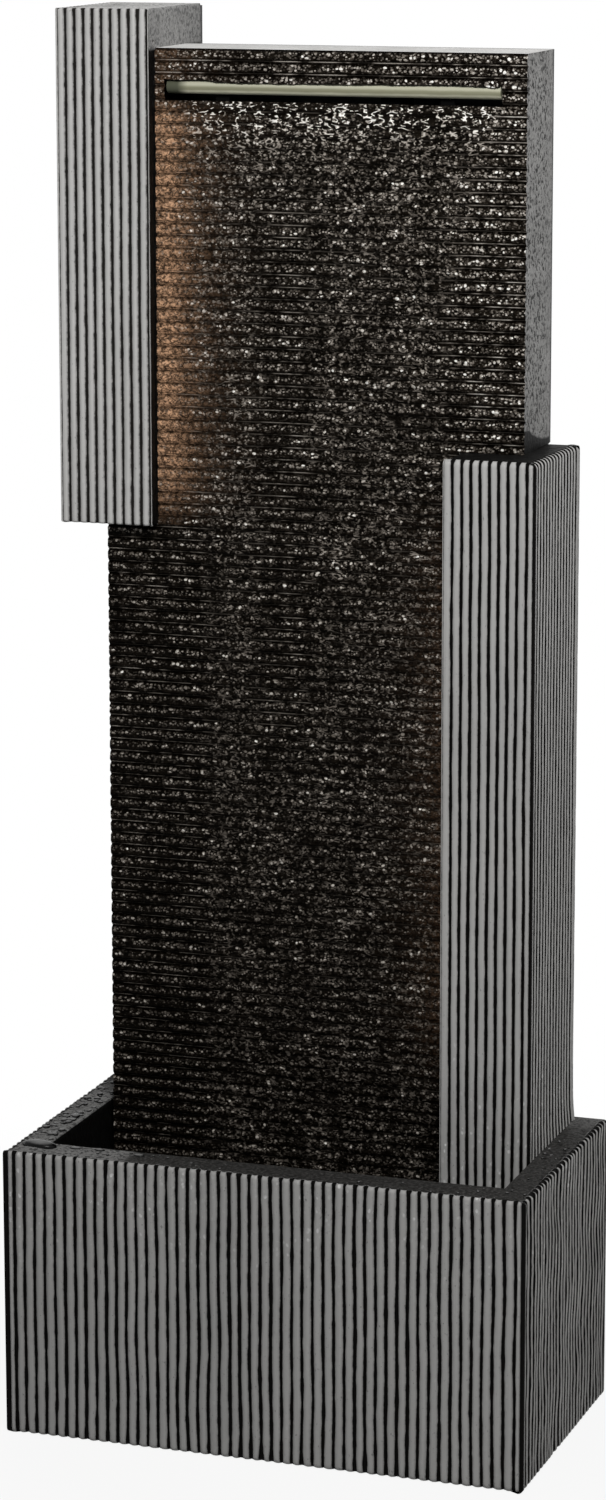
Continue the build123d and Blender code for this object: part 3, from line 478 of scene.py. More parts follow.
@dataclass(frozen=True)
class StonePaint(Finish):
    """Sanded grey casting with dark pores, darker by its wet value: water, and painted shade on pillar sides."""

    name: str
    level: float
    dark: float = 0.03
    wet_level: float = 0.012
    gloss: float = 0.05
    roughness: float = 0.75
    wet_smoother: float = 0.2
    cloud: Grain = Grain(38.0, 4.0, 0.62)
    grain: Grain = Grain(420.0, 2.0, 0.6)
    cloud_share: float = 0.5
    grain_share: float = 0.6
    mottle: Stops = ((0.45, 0.0), (0.66, 1.0))
    low_level: float = 0.72
    warmth: Span = (0.01, 0.008)
    worm: Grain = Grain(330.0, 2.0, 0.6, None, 0.6)
    pores: Stops = ((0.40, 1.0), (0.50, 0.0))
    pores_open: float = 0.95
    plain_closes: float = 0.8
    wet_edge: Stops = ((0.38, 0.0), (0.62, 1.0))
    soaked: Stops = ((0.45, 0.0), (0.7, 1.0))
    soaked_levels: Span = (0.6, 2.2)
    soaked_warmth: float = 0.03
    worm_depth: Span = (1.0 * MM, 0.5)
    cloud_depth: Span = (2.0 * MM, 0.3)

    def dress(self, tree: ShaderTree) -> None:
        """Mottled grey with winding pores, fewer by the mesh's plain value, and a wet share by its wet value.

        Args:
            tree: Fresh tree of the material.
        """
        cloud = tree.noise(self.cloud)
        grain = tree.noise(self.grain)
        level = tree.plus(tree.times(cloud, self.cloud_share), tree.times(grain, self.grain_share))
        dry = tree.mix(tree.ramp(level, self.mottle), tone(self.level * self.low_level, self.warmth[0]),
                       tone(self.level, self.warmth[1]))
        worm = tree.noise(self.worm)
        open_pores = tree.minus(self.pores_open, tree.times(tree.attribute("plain"), self.plain_closes))
        dry = tree.mix(tree.times(tree.ramp(worm, self.pores), open_pores), dry, tone(self.dark))
        wander = tree.minus(tree.times(cloud, self.cloud_share), self.cloud_share / 2)
        # the wet value marks water, and on the pillars' plain sides painted shade
        wet = tree.ramp(tree.plus(tree.attribute("wet"), wander), self.wet_edge)
        low, high = (tone(self.wet_level * share, self.soaked_warmth) for share in self.soaked_levels)
        soaked = tree.mix(tree.ramp(grain, self.soaked), low, high)
        tree.set(Base_Color=tree.mix(wet, dry, soaked), Specular_IOR_Level=self.gloss)
        tree.set(Roughness=tree.minus(self.roughness, tree.times(wet, self.wet_smoother)))
        tree.set(Normal=tree.bump(cloud, *self.cloud_depth, tree.bump(worm, *self.worm_depth)))


@dataclass(frozen=True)
class WetWall(Finish):
    """Black casting under a running film of water, its highlights and the hidden lights' amber glow painted on."""

    name: str
    roughness: float = 0.2
    gloss: float = 0.012
    bead: Specks = Specks(400.0, 0.44, (0.8, 0.3, 1.0), 1.5)
    fine: Specks = Specks(640.0, 0.46, (0.8, 0.3, 1.0), 0.8)
    fine_share: float = 0.42
    patch: Grain = Grain(120.0, 3.0, 0.6)
    lots: Stops = ((0.38, 0.3), (0.62, 1.25))
    row_levels: Span = (0.05, 0.95)
    stream_share: float = 0.07
    fall_clears: float = 0.75
    arc: Grain = Grain(450.0, 0.0, 0.5, (0.42, 0.3, 1.0))
    arc_width: float = 0.11
    gaps: Grain = Grain(300.0, 1.0)
    broken: Stops = ((0.52, 0.0), (0.59, 1.0))
    running_share: float = 0.2
    thin: Grain = Grain(70.0)
    thin_stops: Stops = ((0.46, 0.03), (0.66, 0.62))
    glow_hides: float = 1.7
    skin: Grain = Grain(330.0, 3.0, 0.6, (0.7, 1.0, 1.0), 0.6)
    # Dull grey on the ribs, brighter where the painted highlights are bright: partly dust, partly painted sheen.
    dust_and_sheen: Stops = ((0.38, 0.0), (0.7, 1.0))
    black: Colour = tone(0.0010, 0.5)
    dusty_sheen: Colour = tone(0.009, 0.3)
    # Colours of the painted water highlights, dim to bright.
    dim_water_glint: Colour = (0.95, 0.82, 0.70, 1.0)
    bright_water_glint: Colour = (0.95, 0.94, 0.91, 1.0)
    skin_depth: Span = (3.0 * MM, 0.6)
    # Painted glow of the hidden lights on the wall: amber emission, mottled and cracked.
    amber: Colour = (1.0, 0.58, 0.34, 1.0)
    crack: Grain = Grain(300.0, 2.0, 0.6, (0.8, 1.0, 1.0), 0.5)
    crack_width: float = 0.07
    uncracked: float = 1.25
    glow_mottle: Grain = Grain(420.0, 3.0, 0.65, (0.8, 1.0, 1.0))
    glow_mottle_stops: Stops = ((0.38, 0.18), (0.64, 1.0))
    lit_crest: float = 0.6
    lit_line: float = 0.6
    lit_groove: float = 0.3

    def dress(self, tree: ShaderTree) -> None:
        """Near-black base, the water's highlights painted over it, and the glow painted as emission by the mesh's
        value.

        Args:
            tree: Fresh tree of the material.
        """
        crest, level, glow = tree.attribute("crest"), tree.attribute("level"), tree.attribute("glow")
        line = tree.attribute("line")
        # painted highlights of the water, bright in the base colour
        shine = tree.times(self.water(tree, line), level)
        shine = tree.times(shine, tree.minus(1.0, tree.times(glow, self.glow_hides)))
        skin = tree.noise(self.skin)
        # partly dust, partly a painted sheen of the water, by the highlights' brightness
        dark = tree.mix(tree.times(tree.ramp(skin, self.dust_and_sheen), tree.times(crest, level)), self.black, self.dusty_sheen)
        wet = tree.mix(shine, self.dim_water_glint, self.bright_water_glint)
        tree.set(Base_Color=tree.mix(shine, dark, wet), Roughness=self.roughness, Specular_IOR_Level=self.gloss)
        depth, strength = self.skin_depth
        tree.set(Normal=tree.bump(skin, depth, tree.times(crest, strength)))
        # painted glow of the hidden lights, as emission, stronger on crests and rib edges
        crack = self.thread(tree, tree.noise(self.crack), self.crack_width)
        glow_mottle = tree.ramp(tree.noise(self.glow_mottle), self.glow_mottle_stops)
        glow_mottle = tree.times(glow_mottle, tree.minus(self.uncracked, crack))
        face = tree.plus(tree.times(crest, self.lit_crest),
                         tree.plus(tree.times(line, self.lit_line), self.lit_groove))
        lit = tree.times(tree.times(glow, face), glow_mottle)
        tree.set(Emission_Color=self.amber, Emission_Strength=lit)

    def water(self, tree: ShaderTree, line: Any) -> Any:
        """Painted water highlights: rows of beads on the ribs, arcs where water runs or falls, and thin bright rib
        edges.

        Args:
            tree: The material's tree.
            line: Output of the rib edges' share.

        Returns:
            The output of the painted highlights' share, 0 on the bare casting.
        """
        stream, band, fall = tree.attribute("stream"), tree.attribute("band"), tree.attribute("fall")
        lots = tree.ramp(tree.noise(self.patch), self.lots)
        least, more = self.row_levels
        row = tree.plus(tree.times(band, more), least)
        row = tree.most(row, tree.times(stream, self.stream_share))
        row = tree.times(row, tree.minus(1.0, tree.times(fall, self.fall_clears)))
        large = tree.times(tree.dots(self.bead), tree.times(row, lots))
        small = tree.times(tree.dots(self.fine), tree.times(row, self.fine_share))
        broken = tree.ramp(tree.noise(self.gaps), self.broken)
        arc = self.thread(tree, tree.noise(self.arc), self.arc_width)
        running = tree.times(tree.times(stream, lots), self.running_share)
        arc = tree.times(tree.times(arc, broken), tree.most(fall, running))
        thin = tree.times(line, tree.ramp(tree.noise(self.thin), self.thin_stops))
        return tree.most(tree.most(tree.most(large, small), arc), thin)

    @staticmethod
    def thread(tree: ShaderTree, source: Any, half: float, full: float = 0.25) -> Any:
        """Thin winding threads along a noise's middle level, half as wide as given in the noise's own values."""
        away = tree.math("ABSOLUTE", tree.minus(source, 0.5))
        return tree.ramp(away, ((half * full, 1.0), (half, 0.0)))


@dataclass(frozen=True)
class Moulding(Finish):
    """Plain finish of a moulded, turned or drawn piece, with fine grain and handling marks."""

    name: str
    colour: Triple
    roughness: float = 0.5
    grain: float = 900.0
    relief: float = 0.2 * MM
    drift: float = 0.15
    metallic: float = 0.0
    stretch: Optional[Triple] = None
    clear: float = 0.0
    glow: float = 0.0
    gloss: float = 0.4
    tint: Grain = Grain(26.0, 3.0, 0.6)
    smear: float = 0.2
    strength: float = 0.6
    refraction: float = 1.4

    def dress(self, tree: ShaderTree) -> None:
        """Slightly uneven colour and gloss over a fine grain.

        Args:
            tree: Fresh tree of the material.
        """
        tint = tree.noise(self.tint)
        low = tuple(c * (1 - self.drift) for c in self.colour) + (1.0,)
        high = tuple(min(1.0, c * (1 + self.drift)) for c in self.colour) + (1.0,)
        tree.set(Base_Color=tree.mix(tint, low, high), Metallic=self.metallic, Specular_IOR_Level=self.gloss)
        tree.set(Roughness=tree.plus(tree.centred(tint, self.smear), self.roughness))
        tree.set(Normal=tree.relief(Relief(Grain(self.grain, stretch=self.stretch), self.relief, self.strength)))
        if self.clear:
            tree.set(Transmission_Weight=self.clear, IOR=self.refraction)
        if self.glow:
            tree.set(Emission_Color=self.colour + (1.0,), Emission_Strength=self.glow)


@dataclass(frozen=True)
class TubePlastic(Finish):
    """Pale aged tube with an olive band along its middle, painted shine and shade by height, and a painted end
    shadow.
    """

    name: str
    axis_height: float
    radius: float
    # Beyond this X, towards the left end, the tube takes a dark colour: painted shadow.
    shaded_to: float = -106.0 * MM
    stain_soft: float = 1.0 * MM
    end_shade_colour: Colour = (0.075, 0.08, 0.055, 1.0)
    wobble: Grain = Grain(60.0)
    wobble_reach: float = 0.10
    band: Stops = ((0.20, 0.0), (0.34, 1.0), (0.50, 1.0), (0.66, 0.0))
    band_colour: Colour = (0.25, 0.247, 0.17, 1.0)
    # Lighter low on the tube, darker high up: painted reflection below, painted shade under the slot's lip above.
    shading: Stops = ((0.25, 0.0), (0.55, 1.0))
    under: Colour = (0.90, 0.89, 0.70, 1.0)
    upper: Colour = (0.50, 0.495, 0.40, 1.0)
    marks: Grain = Grain(45.0, 3.0, 0.6, (0.3, 1.0, 1.0))
    marks_colour: Colour = (0.40, 0.395, 0.29, 1.0)
    roughness: float = 0.4
    gloss: float = 0.12
    grain: Relief = Relief(Grain(300.0), 0.4 * MM, 0.4)

    def dress(self, tree: ShaderTree) -> None:
        """Cream at the top and the bottom of the tube, olive between, with water marks and painted light and shade.

        Args:
            tree: Fresh tree of the material.
        """
        split = tree.nodes.new("ShaderNodeSeparateXYZ")
        tree.links.new(tree.place, split.inputs[0])
        up = tree.minus(split.outputs["Z"], self.axis_height - self.radius)
        share = tree.math("DIVIDE", up, 2 * self.radius)
        share = tree.plus(share, tree.centred(tree.noise(self.wobble), self.wobble_reach))
        # painted reflection below, painted shade above
        pale = tree.mix(tree.ramp(share, self.shading), self.under, self.upper)
        cream = tree.mix(tree.noise(self.marks), pale, self.marks_colour)
        body = tree.mix(tree.ramp(share, self.band), cream, self.band_colour)
        middle = 0.5  # the ramp's places run from 0 to 1
        # painted shadow over the left end
        end = tree.minus(split.outputs["X"], self.shaded_to - middle)
        near_end = tree.ramp(end, ((middle - self.stain_soft, 1.0), (middle + self.stain_soft, 0.0)))
        tree.set(Base_Color=tree.mix(near_end, body, self.end_shade_colour), Roughness=self.roughness,
                 Specular_IOR_Level=self.gloss, Normal=tree.relief(self.grain))


@dataclass(frozen=True)
class Droplet(Finish):
    """Bead of water, opaque grey with a painted dark rim."""

    name: str = "water_bead"
    uneven: Grain = Grain(150.0)
    levels: Span = (0.12, 0.23)
    # Painted dark rim: stands in for the shaded edge of a clear bead.
    rim: float = 0.004
    roughness: float = 0.25
    refraction: float = 1.33
    gloss: float = 0.15
    ripple: Relief = Relief(Grain(120.0, 1.0), 0.6 * MM, 0.3)

    def dress(self, tree: ShaderTree) -> None:
        """Slightly uneven grey, with a painted dark rim for the shaded edge that a clear bead shows.

        Args:
            tree: Fresh tree of the material.
        """
        clear = tree.mix(tree.noise(self.uneven), *(tone(level) for level in self.levels))
        tree.set(Base_Color=tree.mix(tree.attribute("ring"), clear, tone(self.rim)), Roughness=self.roughness,
                 IOR=self.refraction, Specular_IOR_Level=self.gloss, Normal=tree.relief(self.ripple))


class MeshBuilder:
    """Collects points, faces and point values of one piece."""

    def __init__(self, name: str) -> None:
        """Starts an empty piece.

        Args:
            name: Name of the piece.
        """
        self.name = name
        self.points: List[Array] = []
        self.faces: List[Array] = []
        self.marks: List[Array] = []
        self.values: Dict[str, List[Array]] = {}
        self.count = 0

    def add(self, points: Array, faces: Sequence[Array], marks: Sequence[Array], **values: Array) -> None:
        """Adds a patch.

        Args:
            points: Places, one row each.
            faces: Arrays of corner numbers, each of one corner count, numbered within the patch.
            marks: Material slot of each face, shaped as faces.
            **values: Point values by attribute name.
        """
        start = self.count
        points = np.asarray(points, float).reshape(-1, 3)
        self.points.append(points)
        for face, mark in zip(faces, marks):
            self.faces.append(np.asarray(face, int) + start)
            self.marks.append(np.asarray(mark, int))
        for key in set(self.values) | set(values):
            earlier = self.values.setdefault(key, [np.zeros(start)] if start else [])
            earlier.append(np.asarray(values.get(key, np.zeros(len(points))), float).reshape(-1))
        self.count += len(points)

    def finish(self, finishes: Sequence[Finish], sharp: float = 40.0) -> Piece:
        """Makes the object.

        Args:
            finishes: One finish for each material slot.
            sharp: Edges that bend more than these degrees stay sharp.

        Returns:
            The new object, in the scene.
        """
        mesh = bpy.data.meshes.new(self.name)
        points = np.concatenate(self.points)
        loops = np.concatenate([face.reshape(-1) for face in self.faces])
        sizes = np.concatenate([np.full(len(face), face.shape[1]) for face in self.faces])
        starts = np.concatenate([[0], np.cumsum(sizes)[:-1]])
        mesh.vertices.add(len(points))
        mesh.vertices.foreach_set("co", points.astype(np.float32).reshape(-1))
        mesh.loops.add(len(loops))
        mesh.loops.foreach_set("vertex_index", loops.astype(np.int32))
        mesh.polygons.add(len(sizes))
        mesh.polygons.foreach_set("loop_start", starts.astype(np.int32))
        mesh.polygons.foreach_set("material_index", np.concatenate(self.marks).astype(np.int32))
        mesh.update(calc_edges=True)
        mesh.validate()
        for key, rows in self.values.items():
            layer = mesh.attributes.new(key, "FLOAT", "POINT")
            layer.data.foreach_set("value", np.concatenate(rows).astype(np.float32))
        for finish in finishes:
            mesh.materials.append(finish.material())
        mesh.shade_smooth()
        mesh.set_sharp_from_angle(angle=math.radians(sharp))
        piece = bpy.data.objects.new(self.name, mesh)
        bpy.context.scene.collection.objects.link(piece)
        return piece


class Loft:
    """Stack of closed rings with equal point counts that becomes one skin."""

    last_ring = 0.02  # part of a step that is left open in the middle of a closed end
    dimple = 0.2 * MM
    dimple_size = (20.0 * MM, 20.0 * MM)
    dimple_waves = 12

    def __init__(self) -> None:
        """Starts with no ring."""
        self.rings: List[Array] = []
        self.values: List[Dict[str, Array]] = []
        self.marks: List[int] = []

    def ring(self, points: Array, mark: int, **values: Any) -> None:
        """Adds a ring.

        Args:
            points: Places, one row each.
            mark: Material slot of the band below the ring.
            **values: Point values by attribute name, each a number or one for each point.
        """
        self.rings.append(np.asarray(points, float))
        shape = (len(points),)
        self.values.append({key: np.broadcast_to(np.asarray(value, float), shape) for key, value in values.items()})
        self.marks.append(mark)

    def close(self, steps: int, mark: int, rng: Optional[Random] = None, **values: Any) -> None:
        """Closes the last ring towards its middle.

        Args:
            steps: Number of rings.
            mark: Material slot of the closed end.
            rng: Seeded source of shallow dimples, or None for a flat end.
            **values: Point values by attribute name.
        """
        last = self.rings[-1]
        centre = (last.min(0) + last.max(0)) / 2
        for step in range(1, steps + 1):
            ring = last + (centre - last) * (step / (steps + self.last_ring))
            ring[:, 2] = last[:, 2].mean()
            if rng is not None and step < steps:
                dimples = field_noise(rng, ring[:, 0], ring[:, 1], self.dimple_size, self.dimple_waves)
                ring[:, 2] -= self.dimple * np.abs(dimples)
            self.ring(ring, mark, **values)

    def into(self, builder: MeshBuilder) -> None:
        """Puts the skin into a builder, with a small face at each end.

        Args:
            builder: Builder of the piece.
        """
        rows, cols = len(self.rings), len(self.rings[0])
        index = np.arange(rows * cols).reshape(rows, cols)
        right = np.roll(index, -1, axis=1)
        quads = np.stack([index[:-1], right[:-1], right[1:], index[1:]], axis=-1)
        marks = np.repeat(np.array(self.marks[1:])[:, None], cols, axis=1)
        ends = [index[0][::-1][None, :], index[-1][None, :]]
        end_marks = [np.array([self.marks[1]]), np.array([self.marks[-1]])]
        keys = sorted({key for row in self.values for key in row})
        values = {key: np.concatenate([row.get(key, np.zeros(cols)) for row in self.values]) for key in keys}
        builder.add(np.concatenate(self.rings), [quads.reshape(-1, 4)] + ends, [marks.reshape(-1)] + end_marks,
                    **values)


@dataclass(frozen=True)
class FluteStyle:
    """How one casting's flutes were cut.

    Lengths are in metres. width_change, pinch and tip are shares of the groove's width: its unevenness, and how
    much wider it is at the foot and at the top. cover is the paint's share at a rib's edge and a little inside.
    """

    pitch: float
    depth: float = 2.2 * MM
    groove: float = 0.8 * MM
    flank: float = 0.4 * MM
    dome: float = 0.45 * MM
    wander: float = 0.2 * MM
    wander_length: float = 0.16
    width_change: float = 0.2
    pinch: float = 0.0
    corner: float = 2.1 * MM
    edge: float = 1.8 * MM
    tip: float = 0.0
    # Paint's share at a rib's edge and a little inside: thin paint and painted shade of the rounded ribs.
    cover_and_edge_shade: Span = (0.45, 0.72)


@dataclass
class SideRun:
    """One side of a casting: where each point of each row lies along it, how deep, and how much crest it is."""

    along: Array
    depth: Array
    crest: Array


class FluteCutter:
    """Cuts wavering hand-made flutes into one side."""

    wander_across = 60.0 * MM
    sway_lengths = (50.0 * MM, 60.0 * MM, 20.0 * MM, 90.0 * MM)
    foot_height = 18.0 * MM
    tip_height = 3.5 * MM
    narrowest, widest = 0.4, 2.0
    corner_floor = 0.12
    groove_foot = 0.97
    flank_foot = 0.18
    flank_crest = 0.12
    rib_shares = (0.0, 0.1, 0.28, 0.5, 0.72, 0.9, 1.0)
    round_off = {0.0: 0.16, 0.1: 0.04, 0.9: 0.04, 1.0: 0.16}

    def __init__(self, length: float, heights: Array, style: FluteStyle, ends: Ends, rng: Random) -> None:
        """Takes the side to cut.

        Args:
            length: Length of the side.
            heights: Heights of the rows.
            style: How the flutes are cut.
            ends: How the first and the last rib meet their corners.
            rng: Seeded source of the wander.
        """
        self.heights, self.style, self.ends, self.rng = heights, style, ends, rng
        count = max(1, round(length / style.pitch))
        self.lines = np.linspace(0.0, length, count + 1)
        if ends[1] is RunEnd.EDGE:
            self.lines = np.append(np.linspace(0.0, length - style.edge, count + 1), length)
        self.ribs = len(self.lines) - 1
        self.columns: List[Rows] = []

    def cut(self) -> SideRun:
        """Cuts the whole side.

        Returns:
            The rows of points.
        """
        centres, halves = self.grooves()
        for rib in range(self.ribs):
            self.rib(rib, centres, halves)
        return SideRun(*(np.array(values).T for values in zip(*self.columns)))

    def wander(self, length: float) -> Array:
        """Gentle wander along the rows."""
        return wave_noise(self.rng, self.heights, length)

    def grooves(self) -> Tuple[Array, Array]:
        """Wanders every groove.

        Returns:
            Middle and half width of each groove at each row.
        """
        style, rng, heights = self.style, self.rng, self.heights
        sway_length, change_length, ripple_length, _ = self.sway_lengths
        centres = np.repeat(self.lines[:, None], len(heights), axis=1)
        halves = np.zeros_like(centres)
        grid = np.meshgrid(self.lines, heights, indexing="ij")
        shared = field_noise(rng, *grid, (self.wander_across, style.wander_length))
        above, below = heights - heights.min(), heights.max() - heights
        for line in range(self.ribs + 1):
            if 0 < line < self.ribs:
                sway = 0.75 * shared[line] + 0.35 * self.wander(sway_length) + rng.uniform(-0.5, 0.5)
                centres[line] += style.wander * sway
            change = 0.8 * self.wander(change_length) + 0.5 * self.wander(ripple_length) + rng.uniform(-0.6, 0.6)
            foot = 1 + style.pinch * rng.uniform(0, 1.0) * (1 - smooth(0.0, self.foot_height, above))
            tip = 1 + style.tip * rng.uniform(0.7, 1.3) * (1 - smooth(0.0, self.tip_height, below)) ** 2
            width = np.clip(1 + style.width_change * change, self.narrowest, self.widest)
            halves[line] = style.groove * width * foot * tip
        for line, end in ((0, self.ends[0]), (self.ribs, self.ends[1])):
            halves[line] = style.corner if end is RunEnd.CORNER else 0.0
        return centres, halves

    def rib(self, rib: int, centres: Array, halves: Array) -> None:
        """Cuts one rib and half a groove at each side of it.

        Args:
            rib: Number of the rib.
            centres: Middle of each groove at each row.
            halves: Half width of each groove at each row.
        """
        depth, flank = self.style.depth, self.style.flank
        low = depth * (self.corner_floor if rib == 0 else 1.0)
        high = depth * (self.corner_floor if rib == self.ribs - 1 else 1.0)
        foot_a, foot_b = centres[rib] + halves[rib], centres[rib + 1] - halves[rib + 1]
        top_a, top_b = foot_a + flank, foot_b - flank
        uneven = 0.05 + 0.05 * self.wander(self.sway_lengths[-1]) + 0.04 * self.rng.uniform(-1, 1)
        proud = depth * np.clip(uneven, 0, None)
        starts = rib == 0 and self.ends[0] is RunEnd.RIB
        stops = rib == self.ribs - 1 and self.ends[1] is not RunEnd.CORNER
        flank_low, flank_high = (0.5 * (floor + self.flank_foot * depth) for floor in (low, high))
        self.column(centres[rib], low, 1.0 if starts else 0.0)
        self.column(foot_a, low * self.groove_foot, 1.0 if starts else 0.0)
        self.column((foot_a + top_a) / 2, flank_low, 1.0 if starts else self.flank_crest)
        for share in self.rib_shares:
            curve = self.style.dome * (2 * abs(share - 0.5)) ** 2
            round_off = self.round_off.get(share, 0.0) * depth
            crest = float(np.interp(min(share, 1 - share), self.rib_shares[:3], (*self.style.cover_and_edge_shade, 1.0)))
            self.column(top_a + (top_b - top_a) * share, curve + round_off + proud, crest)
        self.column((top_b + foot_b) / 2, flank_high, 1.0 if stops else self.flank_crest)
        self.column(foot_b, high * self.groove_foot, 1.0 if stops else 0.0)

    def column(self, along: Array, deep: Any, crest: float) -> None:
        """Adds one upright line of points."""
        self.columns.append((along, np.broadcast_to(deep, along.shape), np.full(along.shape, crest)))


@dataclass
class LightSlot:
    """Upright slot in a plain side: limits along it and in height, and its depth."""

    along: Span
    height: Span
    depth: float


@dataclass
class Prism:
    """Upright casting whose sides are fluted or plain."""

    low: Vector
    high: Vector
    style: FluteStyle
    side_style: FluteStyle
    fluted: Tuple[Side, ...]
    seed: int
    rows: int
    foot_round: float
    crest_round: float
    corner: float = 0.0
    slot: Optional[LightSlot] = None
    ends: Dict[Side, Ends] = field(default_factory=dict)
    round_shares: Floats = (0.0, 0.08, 0.25, 0.5, 0.75)
    side_seed_step: int = 101
    plain_columns: int = 13
    corner_columns: int = 7
    plain_ripple: float = 0.16 * MM
    plain_ripple_size: Span = (50.0 * MM, 50.0 * MM)
    plain_start: float = 4.0 * MM

    def __post_init__(self) -> None:
        """Works out the limits and the row heights."""
        self.x0, self.x1 = self.low.x, self.high.x
        self.y0, self.y1 = self.low.y, self.high.y
        rounded = [self.low.z + self.foot_round * share for share in self.round_shares]
        rounded += [self.high.z - self.crest_round * share for share in self.round_shares]
        inner = np.linspace(self.low.z + self.foot_round, self.high.z - self.crest_round, self.rows)
        steps = self.stepped(self.slot.height) if self.slot else []
        self.heights = np.array(sorted({*rounded, *inner.tolist(), *steps}))

    @staticmethod
    def stepped(edges: Span) -> List[float]:
        """Grid lines at both sides of a slot's edges."""
        return [edge + gap for edge in edges for gap in (-EDGE_GAP, EDGE_GAP)]

    def inset(self) -> Array:
        """How far each row draws in where the foot and the crest are rounded.

        Returns:
            One length for each row.
        """
        total = np.zeros(len(self.heights))
        ends = ((self.foot_round, self.heights - self.low.z), (self.crest_round, self.high.z - self.heights))
        for radius, gap in ends:
            near = np.clip(radius - gap, 0.0, radius)
            total += radius - np.sqrt(np.clip(radius**2 - near**2, 0.0, None))
        return total

    def side_points(self, side: Side) -> Rows:
        """Points of one side, row by row.

        Args:
            side: Which side.

        Returns:
            Places of shape rows by columns by 3, crest values, and a mask of the plain columns.
        """
        rng = np.random.default_rng(self.seed + list(Side).index(side) * self.side_seed_step)
        c = self.corner
        start, end, out = (np.array(item) for item in {
            Side.FRONT: ((self.x0, self.y0), (self.x1, self.y0), (0.0, -1.0)),
            Side.RIGHT: ((self.x1, self.y0), (self.x1, self.y1 - c), (1.0, 0.0)),
            Side.BACK: ((self.x1 - c, self.y1), (self.x0 + c, self.y1), (0.0, 1.0)),
            Side.LEFT: ((self.x0, self.y1 - c), (self.x0, self.y0), (-1.0, 0.0)),
        }[side])
        length = float(np.linalg.norm(end - start))
        way = (end - start) / length
        if side in self.fluted:
            ends = self.ends.get(side, (RunEnd.CORNER, RunEnd.CORNER))
            style = self.style if side is Side.FRONT else self.side_style
            run = FluteCutter(length, self.heights, style, ends, rng).cut()
        else:
            run = self.plain_run(length, self.slot if side is self.slot_side() else None, rng)
        deep = run.depth + self.inset()[:, None]
        flat = start + run.along[..., None] * way - deep[..., None] * out
        return self.raised(flat), run.crest, np.full(run.along.shape[1], side not in self.fluted)

    def plain_run(self, length: float, slot: Optional[LightSlot], rng: Random) -> SideRun:
        """A plain side, slightly rippled, with its light's slot.

        Args:
            length: Length of the side.
            slot: Slot to sink into it, or None.
            rng: Seeded source of the ripple.

        Returns:
            The rows of points.
        """
        lines = np.linspace(0.0, length, self.plain_columns + 1)[:-1].tolist()
        lines += self.stepped(slot.along) if slot else []
        tall, along = np.meshgrid(self.heights, sorted(lines), indexing="ij")
        deep = self.plain_ripple * field_noise(rng, along, tall, self.plain_ripple_size)
        deep = deep * smooth(0.0, self.plain_start, along)
        if slot:
            inside = (along > slot.along[0]) & (along < slot.along[1])
            inside &= (tall > slot.height[0]) & (tall < slot.height[1])
            deep = np.where(inside, slot.depth, deep)
        return SideRun(along, deep, np.ones_like(along))

    def slot_side(self) -> Side:
        """The plain inner side that has the light's slot."""
        return Side.LEFT if Side.RIGHT in self.fluted else Side.RIGHT

    def raised(self, flat: Array) -> Array:
        """Places of every row, from their X and Y and the rows' heights."""
        tall = np.broadcast_to(self.heights[:, None, None], flat.shape[:2] + (1,))
        return np.concatenate([flat, tall], axis=-1)

    def corner_points(self, right: bool) -> Rows:
        """Points of a rounded back corner, row by row.

        Args:
            right: Whether it is the right corner.

        Returns:
            Places, crest values and mask, as side_points gives them.
        """
        c = self.corner
        centre = np.array([self.x1 - c if right else self.x0 + c, self.y1 - c])
        quarter = math.pi / 2
        turns = np.linspace(0.0, quarter, self.corner_columns + 1)[:-1] + (0.0 if right else quarter)
        out = np.stack([np.cos(turns), np.sin(turns)], axis=-1)
        flat = centre + (c - self.inset()[:, None, None]) * out[None]
        return self.raised(flat), np.ones(flat.shape[:2]), np.ones(len(turns), bool)

    def wrap(self) -> Rows:
        """All sides in one walk round the casting.

        Returns:
            Places, crest values and mask, as side_points gives them.
        """
        parts = [self.side_points(Side.FRONT), self.side_points(Side.RIGHT)]
        if self.corner:
            parts.append(self.corner_points(True))
        parts.append(self.side_points(Side.BACK))
        if self.corner:
            parts.append(self.corner_points(False))
        parts.append(self.side_points(Side.LEFT))
        points, crest, plain = zip(*parts)
        return np.concatenate(points, axis=1), np.concatenate(crest, axis=1), np.concatenate(plain)


@dataclass
class Casting(ABC):
    """A casting of the fountain that replaces its plain node."""

    node: str
    slot: str = "fluted_resin"

    @abstractmethod
    def build(self) -> Piece:
        """Makes the piece."""

    def place(self) -> None:
        """Builds the piece and hands it to the frame."""
        piece = self.build()
        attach(piece, Body.FOUNTAIN.value)
        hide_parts(self.node)
        LOG.info("%s: %d points", piece.name, len(piece.data.vertices))


